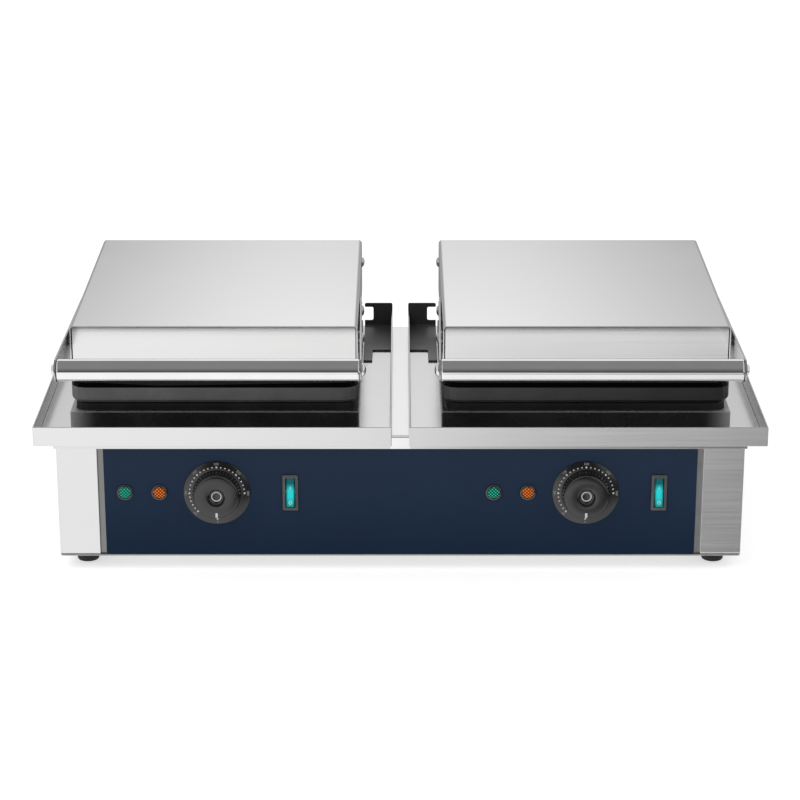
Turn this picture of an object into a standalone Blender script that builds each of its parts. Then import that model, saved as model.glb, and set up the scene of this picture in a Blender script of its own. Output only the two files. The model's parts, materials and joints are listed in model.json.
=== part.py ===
"""Countertop double waffle maker with two hinged lids, modelled piece by piece.

Metres. X runs to the right, Y to the back and Z up from the bench. The sizes below
are measured from the front edge of the trays and from the bench, and one empty then
moves the whole machine so that the origin lies under the middle of its bounding box.
"""

import math

import bmesh
import bpy
from mathutils import Matrix, Vector

MACHINE_NAME = "belgian_waffle_maker"

# Fits between pieces
SEAT_GAP = 0.0003
RUNNING_GAP = 0.0004
CUT_OVERRUN = 0.003
MERGE_DISTANCE = 0.00002

# Feet
FOOT_HEIGHT = 0.0135
FOOT_TOP_RADIUS = 0.0110
FOOT_BASE_RADIUS = 0.0095
FOOT_EDGE = 0.0015
FOOT_SCREW_RADIUS = 0.0035
FOOT_SCREW_DEPTH = 0.0060
FOOT_SIDE_INSET = 0.0207
FOOT_END_INSET = 0.0285

# Body
BODY_SIDE_INSET = 0.0147
BODY_SETBACK = 0.0300
BODY_SHEET = 0.0015
BODY_CORNER = 0.0025
HOUSING_HEIGHT = 0.1084
REAR_FLANGE_WIDTH = 0.0150
DECK_FLANGE_HEIGHT = 0.0124
VENT_SLOT_LENGTH = 0.0400
VENT_SLOT_WIDTH = 0.0045
VENT_SLOT_PITCH = 0.0120
VENT_SLOTS_PER_GROUP = 4
REAR_SHEET = 0.0012

# Control panel
COLUMN_WIDTH = 0.0353
PANEL_THICKNESS = 0.0027
PANEL_SIDE_GAP = 0.0050
PANEL_CORNER = 0.0030
CONTROL_DROP = 0.0402
DIAL_OFFSET = 0.0009
GREEN_LAMP_OFFSET = 0.0784
ORANGE_LAMP_OFFSET = 0.0488
SWITCH_OFFSET = 0.0640

# Dial and knob
DIAL_RADIUS = 0.0288
DIAL_THICKNESS = 0.0020
DIAL_EDGE = 0.0006
DIAL_BORE = 0.0060
KNOB_RADIUS = 0.0210
KNOB_FACE_RADIUS = 0.0196
KNOB_HEIGHT = 0.0100
KNOB_EDGE = 0.0022
KNOB_DISH_RADIUS = 0.0085
KNOB_DISH_DEPTH = 0.0028
KNOB_HUB_RADIUS = 0.0056
KNOB_CROWN = 0.0006
KNOB_BORE_DEPTH = 0.0060
SHAFT_RADIUS = 0.0030
SHAFT_DEPTH_IN_BUSH = 0.0140

# Thermostat
BUSH_RADIUS = 0.0050
THERMOSTAT_WIDTH = 0.0360
THERMOSTAT_HEIGHT = 0.0320
THERMOSTAT_DEPTH = 0.0300
THERMOSTAT_TAB_LENGTH = 0.0080
THERMOSTAT_TAB_WIDTH = 0.0060
THERMOSTAT_TAB_THICKNESS = 0.0012
THERMOSTAT_TAB_SPREAD = 0.0110

# Indicator lamps
LAMP_FLANGE_RADIUS = 0.0073
LAMP_FLANGE_THICKNESS = 0.0014
LAMP_LENS_RADIUS = 0.0062
LAMP_LENS_HEIGHT = 0.0032
LAMP_BODY_RADIUS = 0.0056
LAMP_BODY_LENGTH = 0.0240

# Rocker switch
SWITCH_FLANGE_WIDTH = 0.0134
SWITCH_FLANGE_HEIGHT = 0.0325
SWITCH_FLANGE_THICKNESS = 0.0016
SWITCH_BODY_WIDTH = 0.0114
SWITCH_BODY_HEIGHT = 0.0296
SWITCH_BODY_DEPTH = 0.0240
SWITCH_POCKET_DEPTH = 0.0120
ROCKER_WIDTH = 0.0076
ROCKER_HEIGHT = 0.0250
ROCKER_DEPTH = 0.0070
ROCKER_END_GAP = 0.0009
ROCKER_PIVOT_DEPTH = 0.0040
ROCKER_PIN_RADIUS = 0.0010
ROCKER_PIN_REACH = 0.0010
ROCKER_TILT = math.radians(8)

# Trays
TRAY_WIDTH = 0.3025
TRAY_BEHIND_HINGE = 0.0050
TRAY_HEIGHT = 0.0172
TRAY_SHEET = 0.0012
TRAY_SPACING = 0.0150
HEATER_OPENING_SIDE_LEDGE = 0.0170
HEATER_OPENING_END_LEDGE = 0.0210
HEATER_OPENING_CORNER = 0.0120

# Surround of the lower plate
TRAY_CHANNEL_WIDTH = 0.02775
SURROUND_HEIGHT = 0.0167
SURROUND_SETBACK = 0.0370
SURROUND_REAR_INSET = 0.0190
SURROUND_SHEET = 0.0015

# Baking plates
SURROUND_LEDGE = 0.0040
LOWER_PLATE_HEIGHT = 0.0241
PLATE_CORNER = 0.0100
PLATE_EDGE = 0.0018
PLATE_GAP = 0.0004
UPPER_PLATE_SIDE_INSET = 0.00075
UPPER_PLATE_RIM_HEIGHT = 0.0174
UPPER_PLATE_CORNER = 0.0125
UPPER_PLATE_EDGE = 0.0028
UPPER_PLATE_BACK_HEIGHT = 0.0090
UPPER_PLATE_BACK_INSET = 0.0120
FIELDS_ACROSS = 2
FIELDS_DEEP = 2
FIELD_RIDGE = 0.0080
PLATE_SIDE_RIM = 0.0080
PLATE_END_RIM = 0.0110
POCKETS_PER_FIELD_SIDE = 3
STUD_HEIGHT = 0.0140
STUD_TIP_DROP = 0.0028
STUD_DRAFT = 0.0022
WEB_WIDTH = 0.0045
FIELD_DRAFT = 0.0020
STUD_ROOT = 0.0020

# Heating elements
HEATER_RADIUS = 0.0040
HEATER_SIDE_CLEARANCE = 0.0185
HEATER_INNER_SHARE = 0.476
HEATER_LEAD_SHARE = 0.19
HEATER_BEND_SHARE = 0.41
HEATER_FRONT_SHARE = -0.81
HEATER_BACK_SHARE = 0.57
HEATER_MIDDLE_SHARE = 0.14
HEATER_LEAD_END_SHARE = 0.91

# Lids
LID_SIDE_INSET = 0.0010
LID_DEPTH = 0.2700
LID_HEIGHT = 0.0480
LID_SETBACK = 0.0460
LID_SHEET = 0.0012
LID_LIP_HEIGHT = 0.0026
LID_LIP_DEPTH = 0.0014
SHIELD_INSET = 0.0080
SHIELD_HEIGHT = 0.0130
SHIELD_SHEET = 0.0010

# Handles and their arms
HANDLE_RADIUS = 0.0093
HANDLE_REACH = 0.0200
HANDLE_DROP = 0.0168
HANDLE_STUD_RADIUS = 0.0030
HANDLE_CAP_EDGE = 0.0010
ARM_THICKNESS = 0.0016
ARM_SPACER = 0.0024
ARM_BOSS_RADIUS = 0.0060
ARM_BOSS_INSET = 0.0200
ARM_NOSE_RADIUS = 0.0102
ARM_LENGTH_ON_LID = 0.1130
ARM_TAIL_RADIUS = 0.0060
HANDLE_NUT_RADIUS = 0.0050
HANDLE_NUT_HEIGHT = 0.0030

# Lid hinges
HINGE_BEHIND_LID = 0.0120
HINGE_ABOVE_LID_BASE = 0.0162
HINGE_PIN_RADIUS = 0.0040
HINGE_PIN_HEAD_RADIUS = 0.0065
HINGE_PIN_HEAD = 0.0030
HINGE_EAR_RADIUS = 0.0100
HINGE_EAR_THICKNESS = 0.0030
HINGE_EAR_SPREAD = 0.0720
HINGE_FOOT_DEPTH = 0.0260
HINGE_FOOT_THICKNESS = 0.0025
HINGE_FOOT_FROM_TRAY_END = 0.0020
HINGE_LEG_HALF_DEPTH = 0.0070
YOKE_THICKNESS = 0.0025
YOKE_HEIGHT = 0.0340
YOKE_ROOT_HALF_HEIGHT = 0.0110

# Notched brackets at the inner back corners of the trays
NOTCH_BRACKET_FROM_SURROUND = 0.00105
NOTCH_BRACKET_HEIGHT = 0.0228
NOTCH_BRACKET_SHEET = 0.0012
NOTCH_BRACKET_FOOT = 0.0790
NOTCH_BRACKET_LONG_FOOT = 0.1105
NOTCH_WIDTH = 0.0083
NOTCH_HEIGHT = 0.0133
NOTCH_FROM_TOP = 0.0039
NOTCH_CORNER = 0.0016

# Cable gland and terminal block
GLAND_RADIUS = 0.0100
GLAND_COLLAR_RADIUS = 0.0140
GLAND_COLLAR_LENGTH = 0.0050
GLAND_DOME_RADIUS = 0.0115
GLAND_DOME_LENGTH = 0.0070
GLAND_DOME_EDGE = 0.0015
GLAND_BORE = 0.0050
GLAND_NUT_LENGTH = 0.0050
GLAND_ABOVE_BASE = 0.0312
TERMINAL_LENGTH = 0.0700
TERMINAL_DEPTH = 0.0240
TERMINAL_BASE_HEIGHT = 0.0120
TERMINAL_RIB_HEIGHT = 0.0080
TERMINAL_RIB_WIDTH = 0.0020
TERMINAL_RIBS = 4
TERMINAL_FROM_REAR = 0.0600

# How finely round shapes are divided
ROUND_STEPS = 20
SMALL_ROUND_STEPS = 16
TINY_ROUND_STEPS = 12
ARC_STEPS = 3
SMALL_ARC_STEPS = 2
SMOOTH_ANGLE = math.radians(35)

# Heights worked out from the bench upwards
BOTTOM_PLATE_Z = FOOT_HEIGHT + SEAT_GAP
HOUSING_Z = BOTTOM_PLATE_Z + BODY_SHEET + SEAT_GAP
DECK_Z = HOUSING_Z + HOUSING_HEIGHT + SEAT_GAP + BODY_SHEET
DECK_FLANGE_Z = DECK_Z - DECK_FLANGE_HEIGHT
TRAY_Z = DECK_Z + SEAT_GAP
TRAY_FLOOR_Z = TRAY_Z + TRAY_SHEET
SURROUND_Z = TRAY_FLOOR_Z + SEAT_GAP
LOWER_PLATE_Z = TRAY_FLOOR_Z + SEAT_GAP
LOWER_PLATE_TOP_Z = LOWER_PLATE_Z + LOWER_PLATE_HEIGHT
UPPER_PLATE_Z = LOWER_PLATE_TOP_Z + PLATE_GAP
LID_Z = UPPER_PLATE_Z + UPPER_PLATE_RIM_HEIGHT + SEAT_GAP
LID_TOP_Z = LID_Z + LID_HEIGHT
HANDLE_Z = LID_TOP_Z - HANDLE_DROP
HINGE_Z = LID_Z + HINGE_ABOVE_LID_BASE
CONTROL_Z = DECK_FLANGE_Z - SEAT_GAP - CONTROL_DROP
GLAND_Z = BOTTOM_PLATE_Z + GLAND_ABOVE_BASE
UPPER_PLATE_BACK_Z = UPPER_PLATE_Z + UPPER_PLATE_RIM_HEIGHT + UPPER_PLATE_BACK_HEIGHT

# Places worked out from the front edge of the trays backwards
LID_REAR_Y = LID_SETBACK + LID_DEPTH
HINGE_Y = LID_REAR_Y + HINGE_BEHIND_LID
TRAY_DEPTH = HINGE_Y + TRAY_BEHIND_HINGE
BODY_DEPTH = TRAY_DEPTH - BODY_SETBACK
SURROUND_DEPTH = LID_REAR_Y - SURROUND_REAR_INSET - SURROUND_SETBACK
PLATE_DEPTH = SURROUND_DEPTH - 2 * SURROUND_LEDGE
PANEL_REAR_Y = BODY_SETBACK + PANEL_THICKNESS
FRONT_WALL_Y = PANEL_REAR_Y + SEAT_GAP
FRONT_WALL_BACK_Y = FRONT_WALL_Y + BODY_SHEET
PLATE_Y = SURROUND_SETBACK + SURROUND_DEPTH / 2
HEATER_OPENING_DEPTH = PLATE_DEPTH - 2 * HEATER_OPENING_END_LEDGE
ARM_FRONT_Y = -HANDLE_REACH - ARM_NOSE_RADIUS
GLAND_REACH = REAR_SHEET + 2 * SEAT_GAP + GLAND_COLLAR_LENGTH + GLAND_DOME_LENGTH
MACHINE_REAR_Y = TRAY_DEPTH + GLAND_REACH
FRAME_SHIFT_Y = -(ARM_FRONT_Y + MACHINE_REAR_Y) / 2

# Places and widths worked out from the middle of the machine or of a unit sideways
UNIT_X = (TRAY_WIDTH + TRAY_SPACING) / 2
BODY_WIDTH = 2 * TRAY_WIDTH + TRAY_SPACING - 2 * BODY_SIDE_INSET
PANEL_WIDTH = BODY_WIDTH - 2 * (COLUMN_WIDTH + PANEL_SIDE_GAP)
SURROUND_WIDTH = TRAY_WIDTH - 2 * TRAY_CHANNEL_WIDTH
LOWER_PLATE_WIDTH = SURROUND_WIDTH - 2 * SURROUND_LEDGE
UPPER_PLATE_WIDTH = SURROUND_WIDTH - 2 * UPPER_PLATE_SIDE_INSET
LID_WIDTH = SURROUND_WIDTH - 2 * LID_SIDE_INSET
HEATER_OPENING_WIDTH = LOWER_PLATE_WIDTH - 2 * HEATER_OPENING_SIDE_LEDGE
HEATER_OUTER_X = HEATER_OPENING_WIDTH / 2 - HEATER_SIDE_CLEARANCE

# Colour, roughness and metallic value of each finish
BRUSHED_STEEL = ((0.66, 0.67, 0.68), 0.34, 1.0)
POLISHED_STEEL = ((0.75, 0.76, 0.77), 0.12, 1.0)
PLAIN_STEEL = ((0.50, 0.51, 0.52), 0.45, 1.0)
NAVY_PAINT = ((0.014, 0.025, 0.058), 0.40, 0.0)
CAST_BLACK = ((0.020, 0.020, 0.021), 0.55, 0.3)
SATIN_BLACK = ((0.012, 0.012, 0.012), 0.35, 0.0)
BLACK_PLASTIC = ((0.018, 0.018, 0.019), 0.42, 0.0)
GREEN_LENS = ((0.010, 0.300, 0.160), 0.20, 0.0)
ORANGE_LENS = ((0.800, 0.130, 0.020), 0.20, 0.0)
TEAL_LENS = ((0.010, 0.420, 0.380), 0.25, 0.0)
HEATER_METAL = ((0.180, 0.170, 0.160), 0.50, 1.0)
RUBBER_BLACK = ((0.020, 0.020, 0.020), 0.80, 0.0)
CERAMIC_WHITE = ((0.700, 0.680, 0.630), 0.50, 0.0)


def clear_scene():
    """Remove what the start-up file holds."""
    for item in list(bpy.data.objects):
        bpy.data.objects.remove(item, do_unlink=True)


def new_collection(name):
    """Make a collection and link it to the scene."""
    collection = bpy.data.collections.new(name)
    bpy.context.scene.collection.children.link(collection)
    return collection


def finish(piece, look):
    """Give a piece its own material, from its colour, roughness and metallic value."""
    colour, roughness, metallic = look
    material = bpy.data.materials.new(piece.name + "_material")
    material.use_nodes = True
    shader = material.node_tree.nodes["Principled BSDF"]
    shader.inputs["Base Color"].default_value = (*colour, 1.0)
    shader.inputs["Roughness"].default_value = roughness
    shader.inputs["Metallic"].default_value = metallic
    piece.data.materials.clear()
    piece.data.materials.append(material)
    return piece


def object_from_bmesh(name, shape):
    """Turn a bmesh into an object in the parts collection."""
    mesh = bpy.data.meshes.new(name)
    bmesh.ops.recalc_face_normals(shape, faces=shape.faces)
    shape.to_mesh(mesh)
    shape.free()
    item = bpy.data.objects.new(name, mesh)
    PARTS.objects.link(item)
    return item


def settle(item):
    """Replace an object's modifiers by the mesh that they make."""
    bpy.context.view_layer.update()
    seen = item.evaluated_get(bpy.context.evaluated_depsgraph_get())
    mesh = bpy.data.meshes.new_from_object(seen)
    old_mesh = item.data
    item.modifiers.clear()
    item.data = mesh
    bpy.data.meshes.remove(old_mesh)
    return item


def combine(piece, tool, operation):
    """Apply one Boolean of a tool shape to a piece, then remove the tool."""
    PARTS.objects.unlink(tool)
    CUTTERS.objects.link(tool)
    tool.hide_render = True
    tool.display_type = "WIRE"
    modifier = piece.modifiers.new("boolean", "BOOLEAN")
    modifier.operation = operation
    modifier.solver = "EXACT"
    modifier.object = tool
    settle(piece)
    bpy.data.objects.remove(tool, do_unlink=True)
    return piece


def cut(piece, tool):
    """Take the tool shape out of the piece."""
    return combine(piece, tool, "DIFFERENCE")


def join(piece, tool):
    """Fuse the tool shape to the piece."""
    return combine(piece, tool, "UNION")


def centre_origin(piece):
    """Bring a piece's origin to zero without moving its shape."""
    piece.data.transform(Matrix.Translation(piece.location))
    piece.location = (0, 0, 0)
    return piece


def smooth(piece):
    """Shade round faces smooth and keep real edges sharp."""
    piece.data.shade_smooth()
    piece.data.set_sharp_from_angle(angle=SMOOTH_ANGLE)
    return piece


def block(name, size, centre):
    """A box of the given size about a centre."""
    shape = bmesh.new()
    bmesh.ops.create_cube(shape, size=1)
    bmesh.ops.scale(shape, vec=Vector(size), verts=shape.verts)
    item = object_from_bmesh(name, shape)
    item.location = centre
    return item


def tapered_block(name, base, top, height, base_centre):
    """A box whose top face has another size than its base face."""
    shape = bmesh.new()
    bmesh.ops.create_cube(shape, size=1)
    for corner in shape.verts:
        width, depth = top if corner.co.z > 0 else base
        corner.co.x *= width
        corner.co.y *= depth
        corner.co.z = height if corner.co.z > 0 else 0
    item = object_from_bmesh(name, shape)
    item.location = base_centre
    return item


def is_upright(edge):
    """Whether an edge stands along Z."""
    start, end = edge.verts
    return abs((start.co - end.co).normalized().z) > math.cos(SMOOTH_ANGLE)


def rounded_block(name, size, centre, corner, edge, round_base=True, corner_steps=ARC_STEPS, edge_steps=2):
    """A box with rounded upright corners and softly rounded top and base edges."""
    shape = bmesh.new()
    bmesh.ops.create_cube(shape, size=1)
    bmesh.ops.scale(shape, vec=Vector(size), verts=shape.verts)
    upright = [side for side in shape.edges if is_upright(side)]
    bmesh.ops.bevel(shape, geom=upright, offset=corner, segments=corner_steps, profile=0.5, affect="EDGES")
    if edge:
        half_height = size[2] / 2
        ends = [half_height, -half_height] if round_base else [half_height]
        for level in ends:
            ring = [side for side in shape.edges
                    if all(abs(end.co.z - level) < MERGE_DISTANCE for end in side.verts)]
            bmesh.ops.bevel(shape, geom=ring, offset=edge, segments=edge_steps, profile=0.5, affect="EDGES")
    item = object_from_bmesh(name, shape)
    item.location = centre
    return item


def cylinder(name, radius, length, centre, axis, steps=ROUND_STEPS):
    """A plain cylinder about a centre, along the X, Y or Z axis."""
    shape = bmesh.new()
    bmesh.ops.create_cone(shape, cap_ends=True, segments=steps, radius1=radius, radius2=radius, depth=length)
    turns = {"X": Matrix.Rotation(math.pi / 2, 3, "Y"), "Y": Matrix.Rotation(math.pi / 2, 3, "X")}
    if axis in turns:
        bmesh.ops.rotate(shape, cent=(0, 0, 0), matrix=turns[axis], verts=shape.verts)
    item = object_from_bmesh(name, shape)
    item.location = centre
    return item


def turned(name, profile, steps=ROUND_STEPS, closed=False):
    """Turn a profile of (radius, height) points about Z, from the top down its outer side."""
    shape = bmesh.new()
    corners = [shape.verts.new((radius, 0, height)) for radius, height in profile]
    for start, end in zip(corners, corners[1:]):
        shape.edges.new((start, end))
    if closed:
        shape.edges.new((corners[-1], corners[0]))
    mesh = bpy.data.meshes.new(name)
    shape.to_mesh(mesh)
    shape.free()
    item = bpy.data.objects.new(name, mesh)
    PARTS.objects.link(item)
    screw = item.modifiers.new("turn", "SCREW")
    screw.axis = "Z"
    screw.angle = math.tau
    screw.steps = steps
    screw.render_steps = steps
    screw.use_merge_vertices = True
    screw.merge_threshold = MERGE_DISTANCE
    settle(item)
    return smooth(item)


def dome(radius, height, steps=SMALL_ARC_STEPS):
    """Profile points of a shallow dome, from its crown down to its edge."""
    angles = [math.pi / 2 * step / steps for step in range(steps + 1)]
    return [(radius * math.sin(angle), height * math.cos(angle)) for angle in angles]


def fillet_path(corners, closed, steps=ARC_STEPS):
    """Points of a path whose corners (x, y, radius) are rounded."""
    points = []
    count = len(corners)
    for number, (x, y, radius) in enumerate(corners):
        here = Vector((x, y))
        is_end = not closed and number in (0, count - 1)
        if is_end or not radius:
            points.append(here)
            continue
        before = Vector(corners[number - 1][:2])
        after = Vector(corners[(number + 1) % count][:2])
        to_before = (before - here).normalized()
        to_after = (after - here).normalized()
        half_angle = to_before.angle(to_after) / 2
        reach = radius / math.tan(half_angle)
        middle = (to_before + to_after).normalized()
        centre = here + middle * radius / math.sin(half_angle)
        start = here + to_before * reach - centre
        end = here + to_after * reach - centre
        sweep = start.angle_signed(end)
        for step in range(steps + 1):
            turn = Matrix.Rotation(-sweep * step / steps, 2)
            points.append(centre + turn @ start)
    return points


def curve_to_piece(name, curve):
    """Make a mesh object from a curve, with its caps welded."""
    guide = bpy.data.objects.new(name + "_curve", curve)
    CUTTERS.objects.link(guide)
    bpy.context.view_layer.update()
    seen = guide.evaluated_get(bpy.context.evaluated_depsgraph_get())
    mesh = bpy.data.meshes.new_from_object(seen)
    matrix = guide.matrix_world.copy()
    bpy.data.objects.remove(guide, do_unlink=True)
    shape = bmesh.new()
    shape.from_mesh(mesh)
    bmesh.ops.remove_doubles(shape, verts=shape.verts, dist=MERGE_DISTANCE)
    item = object_from_bmesh(name, shape)
    item.matrix_world = matrix
    bpy.data.meshes.remove(mesh)
    return item


def plate_outline(name, points, thickness):
    """A flat plate of the given outline in X and Y, centred on Z."""
    curve = bpy.data.curves.new(name, "CURVE")
    curve.dimensions = "2D"
    curve.fill_mode = "BOTH"
    curve.extrude = thickness / 2
    spline = curve.splines.new("POLY")
    spline.points.add(len(points) - 1)
    for corner, point in zip(spline.points, points):
        corner.co = (point[0], point[1], 0, 1)
    spline.use_cyclic_u = True
    return curve_to_piece(name, curve)


def side_plate(name, points, thickness, centre):
    """A plate whose outline lies in Y and Z, centred on the X of its centre."""
    item = plate_outline(name, points, thickness)
    upright = Matrix(((0, 0, 1), (1, 0, 0), (0, 1, 0)))
    item.data.transform(upright.to_4x4())
    item.location = centre
    return item


def sheet_box(name, size, sheet, open_sides, centre):
    """A folded sheet box: the outer faces of a box, without the named open sides."""
    shape = bmesh.new()
    bmesh.ops.create_cube(shape, size=1)
    bmesh.ops.scale(shape, vec=Vector(size), verts=shape.verts)
    outward = {"front": (0, -1, 0), "back": (0, 1, 0), "top": (0, 0, 1), "base": (0, 0, -1)}
    shape.normal_update()
    gone = [face for face in shape.faces
            if any(face.normal.dot(Vector(outward[side])) > math.cos(SMOOTH_ANGLE) for side in open_sides)]
    bmesh.ops.delete(shape, geom=gone, context="FACES_ONLY")
    mesh = bpy.data.meshes.new(name)
    shape.to_mesh(mesh)
    shape.free()
    item = bpy.data.objects.new(name, mesh)
    PARTS.objects.link(item)
    item.location = centre
    return thicken(item, sheet)


def thicken(item, sheet):
    """Give an open surface its sheet thickness, on the side away from its normals."""
    solid = item.modifiers.new("sheet", "SOLIDIFY")
    solid.thickness = sheet
    solid.offset = -1
    solid.use_even_offset = True
    return settle(item)


def wall(name, outline, height, sheet, base_z):
    """An upright sheet wall that follows an open outline in X and Y."""
    shape = bmesh.new()
    corners = [shape.verts.new((x, y, 0)) for x, y in outline]
    edges = [shape.edges.new(pair) for pair in zip(corners, corners[1:])]
    raised = bmesh.ops.extrude_edge_only(shape, edges=edges)["geom"]
    top = [item for item in raised if isinstance(item, bmesh.types.BMVert)]
    bmesh.ops.translate(shape, vec=(0, 0, height), verts=top)
    mesh = bpy.data.meshes.new(name)
    shape.to_mesh(mesh)
    shape.free()
    item = bpy.data.objects.new(name, mesh)
    PARTS.objects.link(item)
    item.location.z = base_z
    return thicken(item, sheet)


def slot_tool(name, length, width, depth, centre, along, through):
    """A cutter for a slot with round ends."""
    half = length / 2
    corners = [(-half, -width / 2, width / 2), (half, -width / 2, width / 2),
               (half, width / 2, width / 2), (-half, width / 2, width / 2)]
    item = plate_outline(name, fillet_path(corners, True, SMALL_ARC_STEPS), depth)
    if along == "Y":
        item.data.transform(Matrix.Rotation(math.pi / 2, 4, "Z"))
    if through == "Y":
        item.data.transform(Matrix.Rotation(math.pi / 2, 4, "X"))
    if along == "Z":
        item.data.transform(Matrix.Rotation(math.pi / 2, 4, "Y"))
    item.location = centre
    return item


def empty(name, place, parent=None):
    """An empty that carries other pieces, on a joint's axis or at the frame's shift."""
    item = bpy.data.objects.new(name, None)
    PARTS.objects.link(item)
    item.location = place
    item.parent = parent
    return item


def hang(piece, pivot):
    """Carry a piece on a pivot without moving it."""
    piece.parent = pivot
    piece.location -= pivot.location
    return piece


def unit_sides():
    """The two cooking units, with the sign of their side of the machine."""
    return (("left", -1), ("right", 1))


def control_places(side):
    """X of the dial, lamps and switch on one unit's half of the panel."""
    centre = side * UNIT_X
    return {
        "dial": centre + DIAL_OFFSET,
        "green": centre - GREEN_LAMP_OFFSET,
        "orange": centre - ORANGE_LAMP_OFFSET,
        "switch": centre + SWITCH_OFFSET,
    }


def cut_control_holes(piece, wall_y):
    """Cut the holes for shafts, lamps and switches through a front wall."""
    depth = PANEL_THICKNESS + BODY_SHEET + CUT_OVERRUN
    for _, side in unit_sides():
        places = control_places(side)
        bush = BUSH_RADIUS + SEAT_GAP
        cut(piece, cylinder("bush_hole", bush, depth, (places["dial"], wall_y, CONTROL_Z), "Y",
                            SMALL_ROUND_STEPS))
        for lamp in ("green", "orange"):
            lamp_hole = LAMP_BODY_RADIUS + SEAT_GAP
            cut(piece, cylinder("lamp_hole", lamp_hole, depth, (places[lamp], wall_y, CONTROL_Z), "Y",
                                TINY_ROUND_STEPS))
        size = (SWITCH_BODY_WIDTH + 2 * SEAT_GAP, depth, SWITCH_BODY_HEIGHT + 2 * SEAT_GAP)
        cut(piece, block("switch_hole", size, (places["switch"], wall_y, CONTROL_Z)))
    return piece


def make_foot(name, x, y, machine):
    """A turned rubber foot with the recess of its screw underneath."""
    profile = [
        (0, FOOT_HEIGHT),
        (FOOT_TOP_RADIUS - FOOT_EDGE, FOOT_HEIGHT),
        (FOOT_TOP_RADIUS, FOOT_HEIGHT - FOOT_EDGE),
        (FOOT_BASE_RADIUS, FOOT_EDGE),
        (FOOT_BASE_RADIUS - FOOT_EDGE, 0),
        (FOOT_SCREW_RADIUS, 0),
        (FOOT_SCREW_RADIUS, FOOT_SCREW_DEPTH),
        (0, FOOT_SCREW_DEPTH),
    ]
    foot = turned(name, profile, TINY_ROUND_STEPS)
    foot.location = (x, y, 0)
    hang(foot, machine)
    return finish(foot, RUBBER_BLACK)


def make_feet(machine):
    """Four feet, one under each corner of the body."""
    foot_x = BODY_WIDTH / 2 - FOOT_SIDE_INSET
    for side_name, side in unit_sides():
        make_foot("front_" + side_name + "_foot", side * foot_x, BODY_SETBACK + FOOT_END_INSET, machine)
        make_foot("rear_" + side_name + "_foot", side * foot_x, TRAY_DEPTH - FOOT_END_INSET, machine)


def make_bottom_plate(machine):
    """The closing plate under the body, with two groups of vent slots."""
    middle_y = (BODY_SETBACK + TRAY_DEPTH) / 2
    centre = (0, middle_y, BOTTOM_PLATE_Z + BODY_SHEET / 2)
    plate = rounded_block("bottom_plate", (BODY_WIDTH, BODY_DEPTH, BODY_SHEET), centre, BODY_CORNER, 0)
    for _, side in unit_sides():
        for number in range(VENT_SLOTS_PER_GROUP):
            offset = (number - (VENT_SLOTS_PER_GROUP - 1) / 2) * VENT_SLOT_PITCH
            place = (side * UNIT_X + offset, middle_y, centre[2])
            cut(plate, slot_tool("vent", VENT_SLOT_LENGTH, VENT_SLOT_WIDTH, BODY_SHEET + CUT_OVERRUN,
                                 place, "Y", "Z"))
    hang(plate, machine)
    return finish(plate, PLAIN_STEEL)


def make_housing(machine):
    """The wrapped sheet body: two sides, two front columns and a set-back front wall."""
    side_x = BODY_WIDTH / 2
    recess_x = PANEL_WIDTH / 2 + PANEL_SIDE_GAP
    outline = [
        (side_x - REAR_FLANGE_WIDTH, TRAY_DEPTH),
        (side_x, TRAY_DEPTH),
        (side_x, BODY_SETBACK),
        (recess_x, BODY_SETBACK),
        (recess_x, FRONT_WALL_Y),
    ]
    outline += [(-x, y) for x, y in reversed(outline)]
    housing = wall("base_housing", outline, HOUSING_HEIGHT, BODY_SHEET, HOUSING_Z)
    cut_control_holes(housing, FRONT_WALL_Y)
    hang(housing, machine)
    return finish(housing, BRUSHED_STEEL)


def make_control_panel(machine):
    """The painted plate that carries the controls, seated in the recess of the housing."""
    base_z = BOTTOM_PLATE_Z + BODY_SHEET + SEAT_GAP
    height = DECK_FLANGE_Z - SEAT_GAP - base_z
    half_width = PANEL_WIDTH / 2
    corners = [
        (-half_width, 0, PANEL_CORNER),
        (half_width, 0, PANEL_CORNER),
        (half_width, height, 0),
        (-half_width, height, 0),
    ]
    panel = plate_outline("control_panel", fillet_path(corners, True), PANEL_THICKNESS)
    panel.data.transform(Matrix.Rotation(math.pi / 2, 4, "X"))
    panel.location = (0, BODY_SETBACK + PANEL_THICKNESS / 2, base_z)
    cut_control_holes(panel, BODY_SETBACK)
    hang(panel, machine)
    return finish(panel, NAVY_PAINT)


def make_rear_panel(machine):
    """The rear cover, with vent slots and the hole of the cable gland."""
    base_z = HOUSING_Z
    height = DECK_FLANGE_Z - SEAT_GAP - base_z
    centre_y = TRAY_DEPTH + SEAT_GAP + REAR_SHEET / 2
    middle_z = base_z + height / 2
    panel = block("rear_panel", (BODY_WIDTH, REAR_SHEET, height), (0, centre_y, middle_z))
    for _, side in unit_sides():
        for number in range(VENT_SLOTS_PER_GROUP):
            offset = (number - (VENT_SLOTS_PER_GROUP - 1) / 2) * VENT_SLOT_PITCH
            place = (side * UNIT_X + offset, centre_y, middle_z)
            cut(panel, slot_tool("vent", VENT_SLOT_LENGTH, VENT_SLOT_WIDTH, REAR_SHEET + CUT_OVERRUN,
                                 place, "Z", "Y"))
    hole = cylinder("gland_hole", GLAND_RADIUS + SEAT_GAP, REAR_SHEET + CUT_OVERRUN,
                    (0, centre_y, GLAND_Z), "Y")
    cut(panel, hole)
    hang(panel, machine)
    return finish(panel, BRUSHED_STEEL)


def heater_opening(name, depth_z, middle_z, x):
    """Cutter for the rounded opening under a baking plate."""
    size = (HEATER_OPENING_WIDTH, HEATER_OPENING_DEPTH, depth_z)
    return rounded_block(name, size, (x, PLATE_Y, middle_z), HEATER_OPENING_CORNER, 0,
                         corner_steps=SMALL_ARC_STEPS)


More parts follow.
